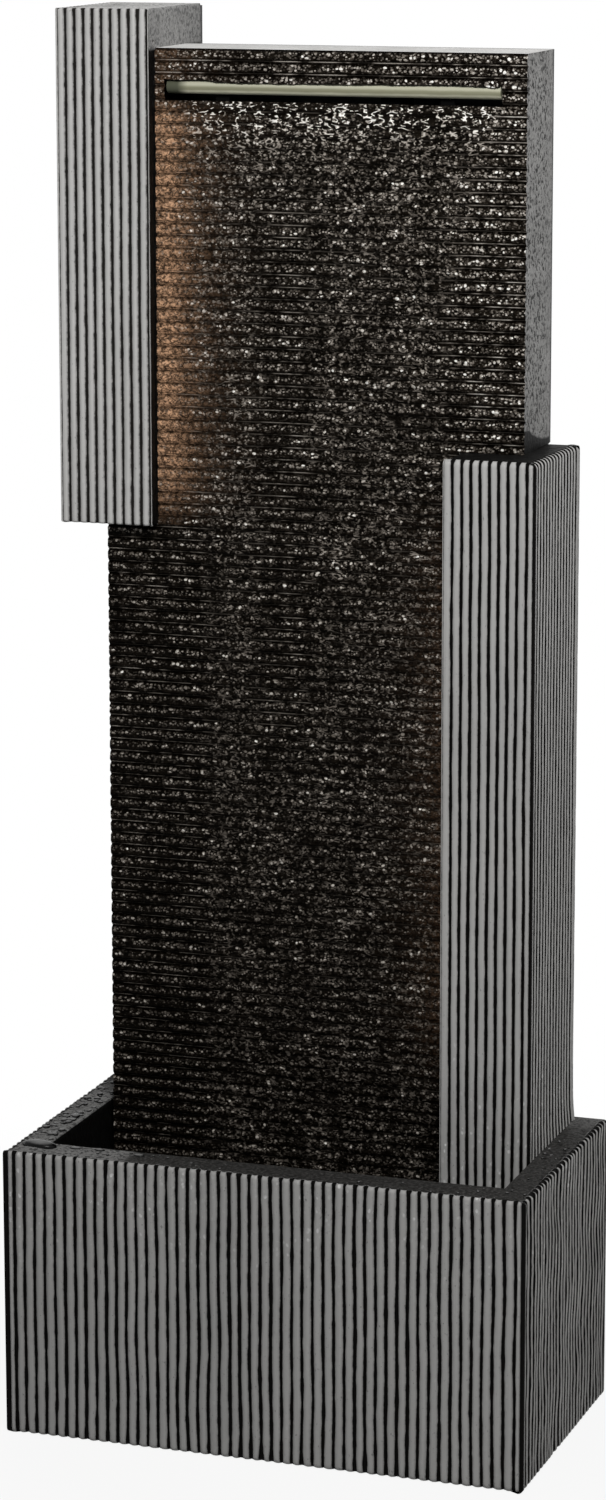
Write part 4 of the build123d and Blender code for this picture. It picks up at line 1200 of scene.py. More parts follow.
@dataclass
class Basin(Casting):
    """Fluted trough with a wide wet rim.

    The rim's widths are at the sides, the front and the back. The drain's place is its X and Z.
    """

    node: str = "basin"
    rim: Triple = (24.5 * MM, 30.0 * MM, 5.0 * MM)
    rim_shares: Floats = (0.03, 0.1, 0.22, 0.38, 0.55, 0.72, 0.88, 0.97)
    rim_ripple: float = 0.35 * MM
    rim_ripple_size: Span = (30.0 * MM, 30.0 * MM)
    rim_ripple_end: float = 8.0
    pool_lip: float = 0.8 * MM
    pool_corner: float = 0.05
    wall_shares: Floats = (0.02, 0.1, 0.35, 0.7, 1.0)
    floor: float = 12.0 * MM
    floor_rings: int = 3
    foot_round: float = 4.0 * MM
    crest_round: float = 2.4 * MM
    back_corner: float = 3.0 * MM
    rows: int = 58
    flute_seed: int = 11
    rim_seed: int = 5
    splash: Span = (100.0 * MM, 210.0 * MM)
    wet_front: Span = (-135.0 * MM, -75.0 * MM)
    dry_back: Span = (30.0 * MM, 100.0 * MM)
    dry_right: Span = (100.0 * MM, 190.0 * MM)
    drier: float = 0.55
    drain: Span = (-110.0 * MM, 27.0 * MM)
    drain_radius: float = 8.0 * MM
    drain_reach: float = 24.0 * MM
    style: FluteStyle = FluteStyle(7.8 * MM, groove=0.66 * MM, dome=1.1 * MM, wander=0.32 * MM,
                                   wander_length=0.10, width_change=0.4, pinch=0.8, corner=3.0 * MM, tip=0.7)
    side_style: FluteStyle = FluteStyle(7.8 * MM, groove=1.6 * MM, dome=2.0 * MM, wander=1.7 * MM,
                                        wander_length=0.07, width_change=0.5, pinch=0.5, tip=0.5,
                                        cover_and_edge_shade=(0.0, 0.1))
    paint: FlutePaint = FlutePaint("basin_paint", 0.36, 0.002)
    rim_stone: StonePaint = StonePaint("rim_stone", 0.23, 0.05, 0.030)
    inside_stone: StonePaint = StonePaint("basin_inside", 0.006, 0.003, 0.003)

    def build(self) -> Piece:
        """Outer flutes, rim, inner walls and floor as one skin, with the drain cut through.

        Returns:
            The piece.
        """
        painted, rim, inside = range(3)
        low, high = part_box(self.node)
        prism = Prism(low, high, self.style, self.side_style, (Side.FRONT, Side.RIGHT, Side.LEFT),
                      self.flute_seed, self.rows, self.foot_round, self.crest_round, self.back_corner)
        points, crest, _ = prism.wrap()
        rng = np.random.default_rng(self.rim_seed)
        loft = Loft()
        bottom = points[0].copy()
        inward = np.array([0.98, 0.98, 0.0])
        loft.ring(bottom + (np.array([0, 0, low.z]) - bottom) * inward, inside)
        loft.ring(bottom, inside)
        for row, value in zip(points[1:], crest[1:]):
            loft.ring(row, painted, crest=value, splash=smooth(*self.splash, row[:, 2]))
        inner = self.pool_ring(points[-1], low, high)
        for share in self.rim_shares:
            ring = points[-1] + (inner - points[-1]) * share
            ripple = field_noise(rng, ring[:, 0], ring[:, 1], self.rim_ripple_size)
            ring[:, 2] += self.rim_ripple * ripple * min(1.0, self.rim_ripple_end * (1 - share))
            loft.ring(ring, rim, crest=1.0, wet=self.wetness(ring))
        lip = inner - np.array([0, 0, self.pool_lip])
        loft.ring(lip, rim, crest=1.0, wet=self.wetness(lip))
        for share in self.wall_shares:
            ring = inner.copy()
            ring[:, 2] = high.z - (high.z - self.floor) * share
            loft.ring(ring, inside, wet=1.0)
        loft.close(self.floor_rings, inside, wet=1.0)
        builder = MeshBuilder("basin_casting")
        loft.into(builder)
        return self.drilled(builder.finish([self.paint, self.rim_stone, self.inside_stone]), high.y)

    def pool_ring(self, outer: Array, low: Vector, high: Vector) -> Array:
        """Points on the pool's edge, one for each point of the rim's outer edge.

        Args:
            outer: Points of the rim's outer edge.
            low: Lowest corner of the basin.
            high: Highest corner of the basin.

        Returns:
            The pool's points.
        """
        side, front, back = self.rim
        first, last = outer[:, :2].min(0), outer[:, :2].max(0)
        share = (outer[:, :2] - first) / (last - first)
        pool_low = np.array([low.x + side, low.y + front])
        pool_high = np.array([high.x - side, high.y - back])
        inner = np.clip((share - self.pool_corner) / (1 - 2 * self.pool_corner), 0, 1)
        pool = pool_low + inner * (pool_high - pool_low)
        gaps = np.stack([share[:, 0], 1 - share[:, 0], share[:, 1], 1 - share[:, 1]], axis=1)
        nearest = gaps.argmin(1)
        for axis in (0, 1):
            pool[nearest == 2 * axis, axis] = pool_low[axis]
            pool[nearest == 2 * axis + 1, axis] = pool_high[axis]
        return np.column_stack([pool, np.full(len(pool), high.z)])

    def wetness(self, ring: Array) -> Array:
        """How wet the rim is: dry at the left, wet along the front and the right.

        Args:
            ring: Points of the rim.

        Returns:
            Share of wet at each point.
        """
        front = smooth(*self.wet_front, ring[:, 0])
        back = smooth(*self.dry_back, ring[:, 1]) * smooth(*self.dry_right, ring[:, 0])
        return np.clip(front - self.drier * back, 0.0, 1.0)

    def drilled(self, piece: Piece, back: float) -> Piece:
        """Cuts the drain hole through the back wall.

        Args:
            piece: The basin.
            back: Y of its back face.

        Returns:
            The basin with its hole.
        """
        x, z = self.drain
        bpy.ops.mesh.primitive_cylinder_add(vertices=40, radius=self.drain_radius, depth=self.drain_reach,
                                            location=(x, back, z), rotation=(math.pi / 2, 0, 0))
        drill = bpy.context.object
        cut = piece.modifiers.new("drain", "BOOLEAN")
        cut.object = drill
        cut.operation = "DIFFERENCE"
        cut.solver = "EXACT"
        mesh = bpy.data.meshes.new_from_object(piece.evaluated_get(bpy.context.evaluated_depsgraph_get()))
        piece.modifiers.clear()
        old = piece.data
        piece.data = mesh
        bpy.data.meshes.remove(old)
        mesh.name = piece.name
        bpy.data.objects.remove(drill)
        return piece


@dataclass
class RightPillar(Casting):
    """Tall fluted pillar with a hidden light in its plain inner side.

    flare is how far the front and the back of its outer side lean out. The foot spreads a little more.
    """

    node: str = "right_pillar"
    outer: Side = Side.RIGHT
    lens: str = "right_light_lens"
    rows: int = 110
    seed: int = 31
    style: FluteStyle = FluteStyle(6.9 * MM, groove=0.60 * MM, dome=0.55 * MM, wander=0.26 * MM,
                                   wander_length=0.13, width_change=0.3, tip=0.9)
    side_style: FluteStyle = FluteStyle(6.9 * MM, groove=1.65 * MM, dome=2.0 * MM, wander=0.25 * MM,
                                        cover_and_edge_shade=(0.0, 0.1))
    ends: Dict[Side, Ends] = field(default_factory=lambda: {
        Side.FRONT: (RunEnd.RIB, RunEnd.CORNER), Side.RIGHT: (RunEnd.CORNER, RunEnd.RIB)})
    foot_round: float = 0.4 * MM
    crest_round: float = 4.0 * MM
    slot_gap: float = 0.1 * MM
    slot_width: float = 3.7 * MM
    slot_depth: float = 3.9 * MM
    flare: Span = (-0.5 * MM, 2.5 * MM)
    spread: float = 0.8
    spread_height: float = 12.0 * MM
    # Below this span the plain sides take the wet value and go near black: painted shade beside the wall.
    shaded_below: Span = (983.0 * MM, 993.0 * MM)
    splash: Span = (230.0 * MM, 310.0 * MM)
    top_wet: float = 1.0
    top_rings: int = 6
    paint: FlutePaint = FlutePaint("right_pillar_paint", 0.44, 0.003)
    side_stone: StonePaint = StonePaint("pillar_stone", 0.41, 0.17, 0.003)
    # Pale finish of the top faces: painted light from above; the right pillar's wet top covers it with soaked
    # black.
    painted_light_top: StonePaint = StonePaint("pillar_top_painted_light", 0.85, 0.45, 0.004)

    def build(self) -> Piece:
        """Sides, crest and foot as one skin.

        Returns:
            The piece.
        """
        painted, stone, top = range(3)
        low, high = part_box(self.node)
        prism = Prism(low, high, self.style, self.side_style, (Side.FRONT, self.outer), self.seed, self.rows,
                      self.foot_round, self.crest_round, slot=self.light_slot(low, high), ends=self.ends)
        points, crest, plain = prism.wrap()
        self.lean(points, low, high)
        rng = np.random.default_rng(self.seed)
        loft = Loft()
        bottom = points[0].copy()
        centre = (bottom.min(0) + bottom.max(0)) / 2
        loft.ring(centre + (bottom - centre) * Loft.last_ring, stone)
        loft.ring(bottom, stone)
        for row, value in zip(points[1:], crest[1:]):
            tall = row[:, 2]
            # wet below that span on the plain sides: painted shade
            loft.ring(row, painted, crest=value, wet=1 - smooth(*self.shaded_below, tall),
                      splash=1 - smooth(*self.splash, tall))
        loft.close(self.top_rings, top, rng, wet=self.top_wet)
        builder = MeshBuilder(self.node + "_casting")
        loft.into(builder)
        quads = builder.marks[0].reshape(-1, len(plain))
        quads[1:len(points), plain & np.roll(plain, -1)] = stone
        return builder.finish([self.paint, self.side_stone, self.painted_light_top])

    def light_slot(self, low: Vector, high: Vector) -> LightSlot:
        """The slot round the light's lens.

        Args:
            low: Lowest corner of the pillar.
            high: Highest corner of the pillar.

        Returns:
            The slot, measured along the inner side.
        """
        lens_low, lens_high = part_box(self.lens)
        near, far = lens_low.y - self.slot_gap, lens_low.y + self.slot_width
        along = (near - low.y, far - low.y) if self.outer is Side.LEFT else (high.y - far, high.y - near)
        return LightSlot(along, (lens_low.z - self.slot_gap, lens_high.z + self.slot_gap), self.slot_depth)

    def lean(self, points: Array, low: Vector, high: Vector) -> None:
        """Leans the outer side and spreads its foot, in place.

        Args:
            points: Points of the casting, changed here.
            low: Lowest corner of the pillar.
            high: Highest corner of the pillar.
        """
        across = (points[..., 0] - low.x) / (high.x - low.x)
        behind = (points[..., 1] - low.y) / (high.y - low.y)
        above = np.clip(points[..., 2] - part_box("basin")[1].z, 0, None)
        spread = self.spread * np.exp(-above / self.spread_height)
        points[..., 0] += across * (self.flare[0] + self.flare[1] * behind * (1 + spread))


@dataclass
class LeftPillar(RightPillar):
    """Short pillar at the upper left, dry, its paint partly paler as painted light, with a thin pale edge beside
    the wall.
    """

    node: str = "left_pillar"
    outer: Side = Side.LEFT
    lens: str = "left_light_lens"
    rows: int = 70
    seed: int = 47
    style: FluteStyle = FluteStyle(6.9 * MM, groove=0.4 * MM, dome=1.2 * MM, wander=0.12 * MM,
                                   wander_length=0.22, width_change=0.35, tip=0.5, cover_and_edge_shade=(0.48, 0.60))
    ends: Dict[Side, Ends] = field(default_factory=lambda: {
        Side.FRONT: (RunEnd.RIB, RunEnd.EDGE), Side.LEFT: (RunEnd.RIB, RunEnd.RIB)})
    foot_round: float = 1.8 * MM
    crest_round: float = 1.6 * MM
    flare: Span = (0.0, 0.0)
    top_wet: float = 0.0
    # Paler crest than the other castings: partly painted light, making up for the key lamp standing to the right.
    paint: FlutePaint = FlutePaint("left_pillar_paint", 0.51, 0.016)


@dataclass
class WaterWall(Casting):
    """Black wall of level ribs with water running down it from a slot.

    Sizes and limits are in metres, in the shared frame. Shares of a rib count from its foot.
    """

    node: str = "water_wall"
    slot: str = "wall_resin"
    foot: float = 172.0 * MM
    pitch: float = 8.7796 * MM
    rib_depth: float = 2.4 * MM
    step: float = 1.55 * MM
    skin: float = 5.0 * MM
    edge: float = 6.0 * MM
    spout_x: Span = (-119.5 * MM, 129.5 * MM)
    spout_z: Span = (952.0 * MM, 967.0 * MM)
    inlet_start: float = -125.7 * MM
    inlet_width: float = 34.0 * MM
    inlet_pitch: float = 52.0 * MM
    inlet_count: int = 3
    inlet_z: Span = (12.0 * MM, 36.0 * MM)
    rib_lines: Floats = (0.0, 0.03, 0.055, 0.08, 0.115, 0.15, 0.21, 0.29, 0.4, 0.52, 0.64, 0.73, 0.8,
                         0.86, 0.91, 0.955)
    foot_lines: int = 12
    line_gaps: Span = (0.25 * MM, 0.12 * MM)
    return_lines: Floats = (0.0, 0.03, 0.18, 0.34, 0.5, 0.62, 0.74, 0.87, 1.0)

    stream_fall: float = 350.0 * MM
    stream_most: float = 2.2
    stream_left: Triple = (-104.0 * MM, 18.0 * MM, 2.0 * MM)
    stream_right: Triple = (124.0 * MM, 36.0 * MM, 2.4)
    stream_soft: float = 8.0 * MM
    calm_x: float = -30.0 * MM
    calm_half: float = 22.0 * MM
    calm_drops: Tuple[Span, Span] = ((0.10, 0.30), (1.15, 1.45))
    calm_share: float = 0.9

    ledge_at: float = 0.055
    ledge_half: float = 0.042
    ledge_rise: float = 0.9 * MM
    # Thin bright line along each groove: a painted highlight.
    line_share: float = 0.75
    line_drowned: float = 0.85
    band_seed: int = 83
    band_sway: float = 1.1 * MM
    band_sway_size: Span = (12.0 * MM, 20.0 * MM)
    band_low: float = 0.48
    band_wider: float = 0.17
    band_wider_z: Span = (600.0 * MM, 950.0 * MM)
    band_soft: Span = (-0.08, 0.06)
    band_high: Span = (0.74, 0.88)
    fall_start: float = 4.0 * MM
    fall_reach: float = 25.0 * MM

    # Brightness of the painted water highlights: higher up, by the slot and at the right.
    level_seed: int = 29
    level_base: float = 0.54
    level_rises: Tuple[Triple, ...] = ((0.20, 0.25, 0.55), (0.20, 0.50, 0.80), (0.12, 0.945, 0.968))
    level_near: float = 0.1
    level_near_reach: float = 50.0 * MM
    level_side: float = 0.55
    level_side_x: Span = (80.0 * MM, 112.0 * MM)
    level_patches: Tuple[Tuple[float, Span], ...] = ((0.15, (0.045, 0.09)), (0.14, (0.014, 0.05)))
    level_limits: Span = (0.25, 2.0)

    # Reach and strength of the hidden lights' glow, painted on the wall as emission.
    glow_start: float = 12.0 * MM
    glow_reach: float = 13.0 * MM
    glow_low: Span = (640.0 * MM, 700.0 * MM)
    glow_top: Span = (938.0 * MM, 952.0 * MM)
    glow_top_loss: float = 0.82
    glow_level: float = 0.50
    faint_reach: float = 16.0 * MM
    faint_low: Span = (230.0 * MM, 320.0 * MM)
    faint_top: Span = (600.0 * MM, 700.0 * MM)
    faint_level: float = 0.08

    surface_seed: int = 71
    rise: Span = (0.03, 0.24)
    crest: Span = (0.10, 0.26)
    bare_crest: float = 0.3
    wobble_size: Span = (20.0 * MM, 12.0 * MM)
    grain_size: Span = (7.5 * MM, 5.5 * MM)
    grain_waves: int = 40
    drowned: float = 0.45
    wobble: float = 0.10 * MM
    wet_grain: Span = (0.42 * MM, 0.8)
    dry_grain: float = 0.16 * MM

    lip_seed: int = 9
    lip_end: float = 5.0 * MM
    lip_base: float = 0.4 * MM
    lip_sags: Tuple[Triple, ...] = ((1.8 * MM, -0.092, -0.066), (-1.4 * MM, -0.05, 0.10), (1.3 * MM, 0.108, 0.122))
    lip_wave: Span = (0.35 * MM, 45.0 * MM)
    hole_gap: float = 4.5 * MM
    stain_reach: Triple = (6.0 * MM, 12.0 * MM, 0.45)
    stain_soft: Span = (-6.0 * MM, 4.0 * MM)
    return_crest: float = 0.4
    plain_share: float = 0.6
    plain_back: Span = (0.70, 0.95)
    sharp: float = 55.0

    front_stone: WetWall = WetWall("wet_wall")
    side_stone: StonePaint = StonePaint("wall_stone", 0.60, 0.06, 0.004)
    # Near-white finish of the top faces: painted light from above.
    painted_light_top: StonePaint = StonePaint("wall_top_painted_light", 1.0, 0.9)

    def __post_init__(self) -> None:
        """Takes the stepped outline from the frame."""
        low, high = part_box(self.node)
        left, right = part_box("left_pillar"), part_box("right_pillar")
        self.low, self.high = low, high
        self.front, self.back = low.y, high.y
        self.hollow_y = self.front + self.rib_depth + self.skin
        self.steps_x = (low.x, left[1].x, right[0].x, high.x)
        self.steps_z = (low.z, left[0].z, right[1].z, high.z)
        lefts = [self.inlet_start + index * self.inlet_pitch for index in range(self.inlet_count)]
        self.inlets = [(place, place + self.inlet_width) for place in lefts]
        self.inlet_edges = [edge for inlet in self.inlets for edge in inlet]

    def lines(self) -> Tuple[Array, Array]:
        """Grid lines along X and up Z, with every edge of the outline, the slot and the inlets among them.

        Returns:
            The lines' X and the lines' Z.
        """
        xs = set(np.arange(self.low.x, self.high.x, self.step).tolist())
        ribs = round((self.high.z - self.foot) / self.pitch)
        zs = {self.foot + (rib + share) * self.pitch for rib in range(ribs) for share in self.rib_lines}
        zs |= set(np.linspace(self.low.z, self.foot, self.foot_lines).tolist())
        fixed_x = {*self.steps_x, *self.spout_x, *self.inlet_edges}
        fixed_z = {*self.steps_z, *self.spout_z, *self.inlet_z}
        return self.thinned(xs, fixed_x, self.line_gaps[0]), self.thinned(zs, fixed_z, self.line_gaps[1])

    @staticmethod
    def thinned(places: Set[float], fixed: Set[float], gap: float) -> Array:
        """Sorted lines without near doubles.

        Args:
            places: Lines that may go.
            fixed: Lines that stay.
            gap: Distance from a fixed line within which others go.

        Returns:
            The lines that are left.
        """
        free = [place for place in places - fixed if min(abs(place - line) for line in fixed) > gap]
        ordered = sorted([*fixed, *free])
        return np.array([p for i, p in enumerate(ordered) if i == 0 or p - ordered[i - 1] > SNAP])

    def phase(self, z: Array) -> Array:
        """Share of a rib's height at each height."""
        return np.mod((z - self.foot) / self.pitch, 1.0)

    def ledge(self, z: Array) -> Array:
        """Share of the thin ledge along the foot of each rib."""
        return np.exp(-(((self.phase(z) - self.ledge_at) / self.ledge_half) ** 2))

    def stream(self, x: Array, z: Array) -> Array:
        """Share of running water, 0 on bare ribs to 1 in the stream.

        Args:
            x: X of each place.
            z: Z of each place.

        Returns:
            The share at each place.
        """
        drop = np.clip((self.spout_z[0] - z) / self.stream_fall, 0.0, self.stream_most)
        start, inward, spread = self.stream_left
        left = start + inward * np.clip(drop, 0, 1) - spread * drop
        start, inward, pace = self.stream_right
        right = start - inward * np.clip(drop * pace, 0, 1)
        soft = self.stream_soft
        inside = smooth(-soft, soft, x - left) * (1 - smooth(-soft, soft, x - right))
        begins, ends = self.calm_drops
        calm = np.exp(-(((x - self.calm_x) / self.calm_half) ** 4)) * smooth(*begins, drop)
        calm = calm * (1 - smooth(*ends, drop))
        return inside * (1 - self.calm_share * calm) * (z < self.spout_z[0])

    def glow(self, x: Array, z: Array) -> Array:
        """Strength of the hidden lights' glow, painted on the wall as emission.

        Args:
            x: X of each place.
            z: Z of each place.

        Returns:
            The strength at each place.
        """
        left_gap = np.clip(x - self.steps_x[1] - self.glow_start, 0, None)
        left = np.exp(-left_gap / self.glow_reach) * smooth(*self.glow_low, z)
        left = left * (1 - smooth(*self.glow_top, z) * self.glow_top_loss)
        right = np.exp(-np.clip(self.steps_x[2] - x, 0, None) / self.faint_reach)
        right = right * smooth(*self.faint_low, z) * (1 - smooth(*self.faint_top, z))
        lit = self.glow_level * left * (z > self.steps_z[1])
        return lit + self.faint_level * right * (z < self.steps_z[2])

    def line(self, x: Array, z: Array) -> Array:
        """Share of the thin bright edge, a painted highlight, that runs along each groove outside the stream."""
        dry = 1 - self.line_drowned * self.stream(x, z)
        return self.line_share * self.ledge(z) * dry * (z > self.foot)

    def band(self, x: Array, z: Array) -> Array:
        """Share of painted highlight specks on a rib's face: a wide band near the wall's top, a thin row lower
        down.

        Args:
            x: X of each place.
            z: Z of each place.

        Returns:
            The share at each place.
        """
        rng = np.random.default_rng(self.band_seed)
        sway = self.band_sway * field_noise(rng, x, z, self.band_sway_size) * self.stream(x, z)
        phase = self.phase(z + sway)
        low = self.band_low - self.band_wider * smooth(*self.band_wider_z, z)
        start, end = self.band_soft
        return smooth(low + start, low + end, phase) * (1 - smooth(*self.band_high, phase))

    def fall(self, x: Array, z: Array) -> Array:
        """Share of the bright dashes, painted highlights, where the water leaves the slot.

        Args:
            x: X of each place.
            z: Z of each place.

        Returns:
            The share at each place.
        """
        below = self.spout_z[0] - z
        fade = np.exp(-((np.clip(below - self.fall_start, 0, None) / self.fall_reach) ** 2))
        return fade * (below > 0) * self.stream(x, z)

    def level(self, x: Array, z: Array) -> Array:
        """Brightness of the water's painted highlights, in patches.

        Args:
            x: X of each place.
            z: Z of each place.

        Returns:
            The brightness at each place.
        """
        rng = np.random.default_rng(self.level_seed)
        base = self.level_base + sum(rise * smooth(low, high, z) for rise, low, high in self.level_rises)
        near = np.exp(-np.clip(self.spout_z[0] - z, 0, None) / self.level_near_reach) * self.stream(x, z)
        side = smooth(*self.level_side_x, x) * (z > self.steps_z[2])
        base = base + self.level_near * near + self.level_side * side
        patch = 1 + sum(share * field_noise(rng, x, z, size) for share, size in self.level_patches)
        return base * np.clip(patch, *self.level_limits)

    def surface(self, x: Array, z: Array) -> Tuple[Array, Array]:
        """Shape of the ribs under the water.

        Args:
            x: X of each place.
            z: Z of each place.

        Returns:
            Depth behind the crest plane, and crest share, at each place.
        """
        rng = np.random.default_rng(self.surface_seed)
        phase = self.phase(z)
        edge = np.minimum(phase, 1 - phase)
        rise = smooth(*self.rise, edge)
        stream = self.stream(x, z)
        wobble = field_noise(rng, x, z, self.wobble_size)
        grain = field_noise(rng, x, z, self.grain_size, self.grain_waves)
        depth = (1 - rise) * self.rib_depth * (1 - self.drowned * stream)
        depth += self.wobble * (1 + wobble) * rise - self.ledge_rise * self.ledge(z) * (1 - stream)
        wet_depth, wet_share = self.wet_grain
        depth += stream * wet_depth * (1 + wet_share * grain) * rise
        depth += (1 - stream) * self.dry_grain * (1 + grain) * rise
        ribbed = z > self.foot - EDGE_GAP
        depth = np.where(ribbed, np.clip(depth, 0.0, None), self.rib_depth)
        return depth, np.where(ribbed, smooth(*self.crest, edge), self.bare_crest)

    def inside(self, x: Array, z: Array) -> Array:
        """Whether each place lies on the wall's stepped front, clear of its slot and inlets.

        Args:
            x: X of each place.
            z: Z of each place.

        Returns:
            True or False at each place.
        """
        x0, x1, x2, x3 = self.steps_x
        z0, z1, z2, z3 = self.steps_z

        def within(span_x: Span, span_z: Span) -> Array:
            """Whether each place lies in a rectangle."""
            return (x > span_x[0]) & (x < span_x[1]) & (z > span_z[0]) & (z < span_z[1])

        body = within((x0, x2), (z0, z1)) | within((x1, x2), (z0, z3)) | within((x1, x3), (z2, z3))
        body &= ~within(self.spout_x, self.spout_z)
        for inlet in self.inlets:
            body &= ~within(inlet, self.inlet_z)
        return body

    def build(self) -> Piece:
        """Ribbed front with its slot, plain returns behind its edges, and the hollow's inner faces.

        Returns:
            The piece.
        """
        xs, zs = self.lines()
        grid_x, grid_z = np.meshgrid(xs, zs)
        depth, crest = self.surface(grid_x, grid_z)
        points = np.stack([grid_x, self.front + depth, self.lipped(grid_x, grid_z)], axis=-1)
        solid = self.inside(*np.meshgrid((xs[:-1] + xs[1:]) / 2, (zs[:-1] + zs[1:]) / 2))
        index = np.arange(grid_x.size).reshape(grid_x.shape)
        quads = np.stack([index[:-1, :-1], index[:-1, 1:], index[1:, 1:], index[1:, :-1]], axis=-1)[solid]
        used = np.zeros(grid_x.size, bool)
        used[quads.reshape(-1)] = True
        remap = np.cumsum(used) - 1
        values = {"crest": crest}
        for name, share in (("stream", self.stream), ("glow", self.glow), ("line", self.line), ("band", self.band),
                            ("fall", self.fall), ("level", self.level)):
            values[name] = share(grid_x, grid_z)
        values = {name: value.reshape(-1)[used] for name, value in values.items()}
        builder = MeshBuilder("water_wall_casting")
        builder.add(points.reshape(-1, 3)[used], [remap[quads]], [np.zeros(len(quads), int)], **values)
        self.returns(builder, points, solid)
        self.hollow(builder)
        return builder.finish([self.front_stone, self.side_stone, self.painted_light_top], self.sharp)

    def lipped(self, x: Array, z: Array) -> Array:
        """Heights with the slot's upper lip worn uneven.

        Args:
            x: X of each place.
            z: Z of each place.

        Returns:
            The new heights.
        """
        rng = np.random.default_rng(self.lip_seed)
        left, right = self.spout_x
        wave, length = self.lip_wave
        sag = self.lip_base + sum(drop * smooth(low, high, x) for drop, low, high in self.lip_sags)
        sag = sag + wave * wave_noise(rng, x, length)
        ends = smooth(left, left + self.lip_end, x) * (1 - smooth(right - self.lip_end, right, x))
        lip = np.abs(z - self.spout_z[1]) < SNAP / 10
        return np.where(lip, z - ends * np.clip(sag, -self.lip_base, None), z)

    def returns(self, builder: MeshBuilder, points: Array, solid: Array) -> None:
        """Faces that run back from every edge of the front.

        Args:
            builder: Builder of the wall.
            points: Points of the front's grid.
            solid: Which cells of the grid are there.
        """
        padded = np.pad(solid, 1)
        for axis in (0, 1):
            before = padded[:-1, 1:-1] if axis == 0 else padded[1:-1, :-1]
            after = padded[1:, 1:-1] if axis == 0 else padded[1:-1, 1:]
            for row, col in zip(*np.nonzero(before != after)):
                next_place = (row, col + 1) if axis == 0 else (row + 1, col)
                ahead = bool(before[row, col]) == (axis == 0)
                self.strip(builder, points[row, col], points[next_place], ahead)

    def strip(self, builder: MeshBuilder, first: Array, last: Array, ahead: bool) -> None:
        """One run of faces of a return, from the front edge back.

        Args:
            builder: Builder of the wall.
            first: First point of the front edge.
            last: Last point of the front edge.
            ahead: Which way round the faces go.
        """
        front, side, top = range(3)
        hole = self.in_hole(first) and self.in_hole(last)
        on_top = min(first[2], last[2]) > self.high.z - SNAP
        # the top faces take the pale top finish: painted light from above
        mark = front if hole else top if on_top else side
        back = self.hollow_y if hole else self.back
        shares = np.array((0.0, 1.0) if hole else self.return_lines)
        rails = [edge + np.outer(shares, np.array([0.0, back - edge[1], 0.0])) for edge in (first, last)]
        corners = np.concatenate(rails)
        low = np.arange(len(shares) - 1)
        faces = np.stack([low, low + len(shares), low + len(shares) + 1, low + 1], axis=1)
        if not ahead:
            faces = faces[:, ::-1]
        depth = np.concatenate([shares, shares])
        least, more, fade = self.stain_reach
        reach = least + more * np.exp(-((depth / fade) ** 2))
        stain = 1 - smooth(*self.stain_soft, corners[:, 2] - self.steps_z[2] - reach)
        builder.add(corners, [faces], [np.full(len(faces), mark)], crest=np.full(len(corners), self.return_crest),
                    wet=stain * (corners[:, 0] > self.steps_x[2]),
                    plain=self.plain_share * smooth(*self.plain_back, depth))

    def in_hole(self, point: Array) -> bool:
        """Whether a point lies on the edge of the slot or of an inlet.

        Args:
            point: The point.

        Returns:
            True on such an edge.
        """
        x, z = point[0], point[2]
        in_spout = self.spout_x[0] - SNAP <= x <= self.spout_x[1] + SNAP
        in_spout = in_spout and self.spout_z[0] - self.hole_gap < z < self.spout_z[1] + self.hole_gap
        in_inlets = self.inlet_edges[0] - SNAP <= x <= self.inlet_edges[-1] + SNAP
        return in_spout or (in_inlets and self.inlet_z[0] + SNAP < z <= self.inlet_z[1] + SNAP)

    def hollow(self, builder: MeshBuilder) -> None:
        """Inner faces of the hollow and the rear edge of the returns.

        Args:
            builder: Builder of the wall.
        """
        e, face, back = self.edge, self.hollow_y, self.back
        x0, x1, x2, x3 = self.steps_x
        z0, z1, z2, z3 = self.steps_z
        outer = [(x0, z0), (x2, z0), (x2, z2), (x3, z2), (x3, z3), (x1, z3), (x1, z1), (x0, z1)]
        inner = [(x0 + e, z0), (x2 - e, z0), (x2 - e, z2 + e), (x3 - e, z2 + e), (x3 - e, z3 - e),
                 (x1 + e, z3 - e), (x1 + e, z1 - e), (x0 + e, z1 - e)]

        def quad(*corners: Triple) -> None:
            """Adds one dark face through places given as X, Z and Y."""
            places = np.array([(x, y, z) for x, z, y in corners])
            builder.add(places, [np.array([[0, 1, 2, 3]])], [np.array([1])], wet=np.ones(4))

        for index in range(1, len(outer)):
            following = (index + 1) % len(outer)
            a, b = inner[index], inner[following]
            quad((*a, face), (*b, face), (*b, back), (*a, back))
            quad((*a, back), (*b, back), (*outer[following], back), (*outer[index], back))
        xs = np.unique([x0 + e, x1 + e, x2 - e, x3 - e, *self.spout_x, *self.inlet_edges])
        zs = np.unique([z0, z1 - e, z2 + e, z3 - e, *self.spout_z, *self.inlet_z])
        for left, right in zip(xs[:-1], xs[1:]):
            for low, high in zip(zs[:-1], zs[1:]):
                x, z = (left + right) / 2, (low + high) / 2
                if self.inside(x, z) and self.enclosed(inner, x, z):
                    quad((left, low, face), (left, high, face), (right, high, face), (right, low, face))

    @staticmethod
    def enclosed(outline: Sequence[Span], x: float, z: float) -> bool:
        """Whether a place lies inside an outline.

        Args:
            outline: Corners of the outline, in order.
            x: X of the place.
            z: Z of the place.

        Returns:
            True inside.
        """
        found = False
        for (ax, az), (bx, bz) in zip(outline, list(outline[1:]) + [outline[0]]):
            if (az > z) != (bz > z) and x < (bx - ax) * (z - az) / (bz - az) + ax:
                found = not found
        return found


@dataclass(frozen=True)
class BeadPatch:
    """Small beads scattered on one stretch of the rim: how many, and the limits of X, Y and radius."""

    count: int
    x: Span
    y: Span
    radius: Span


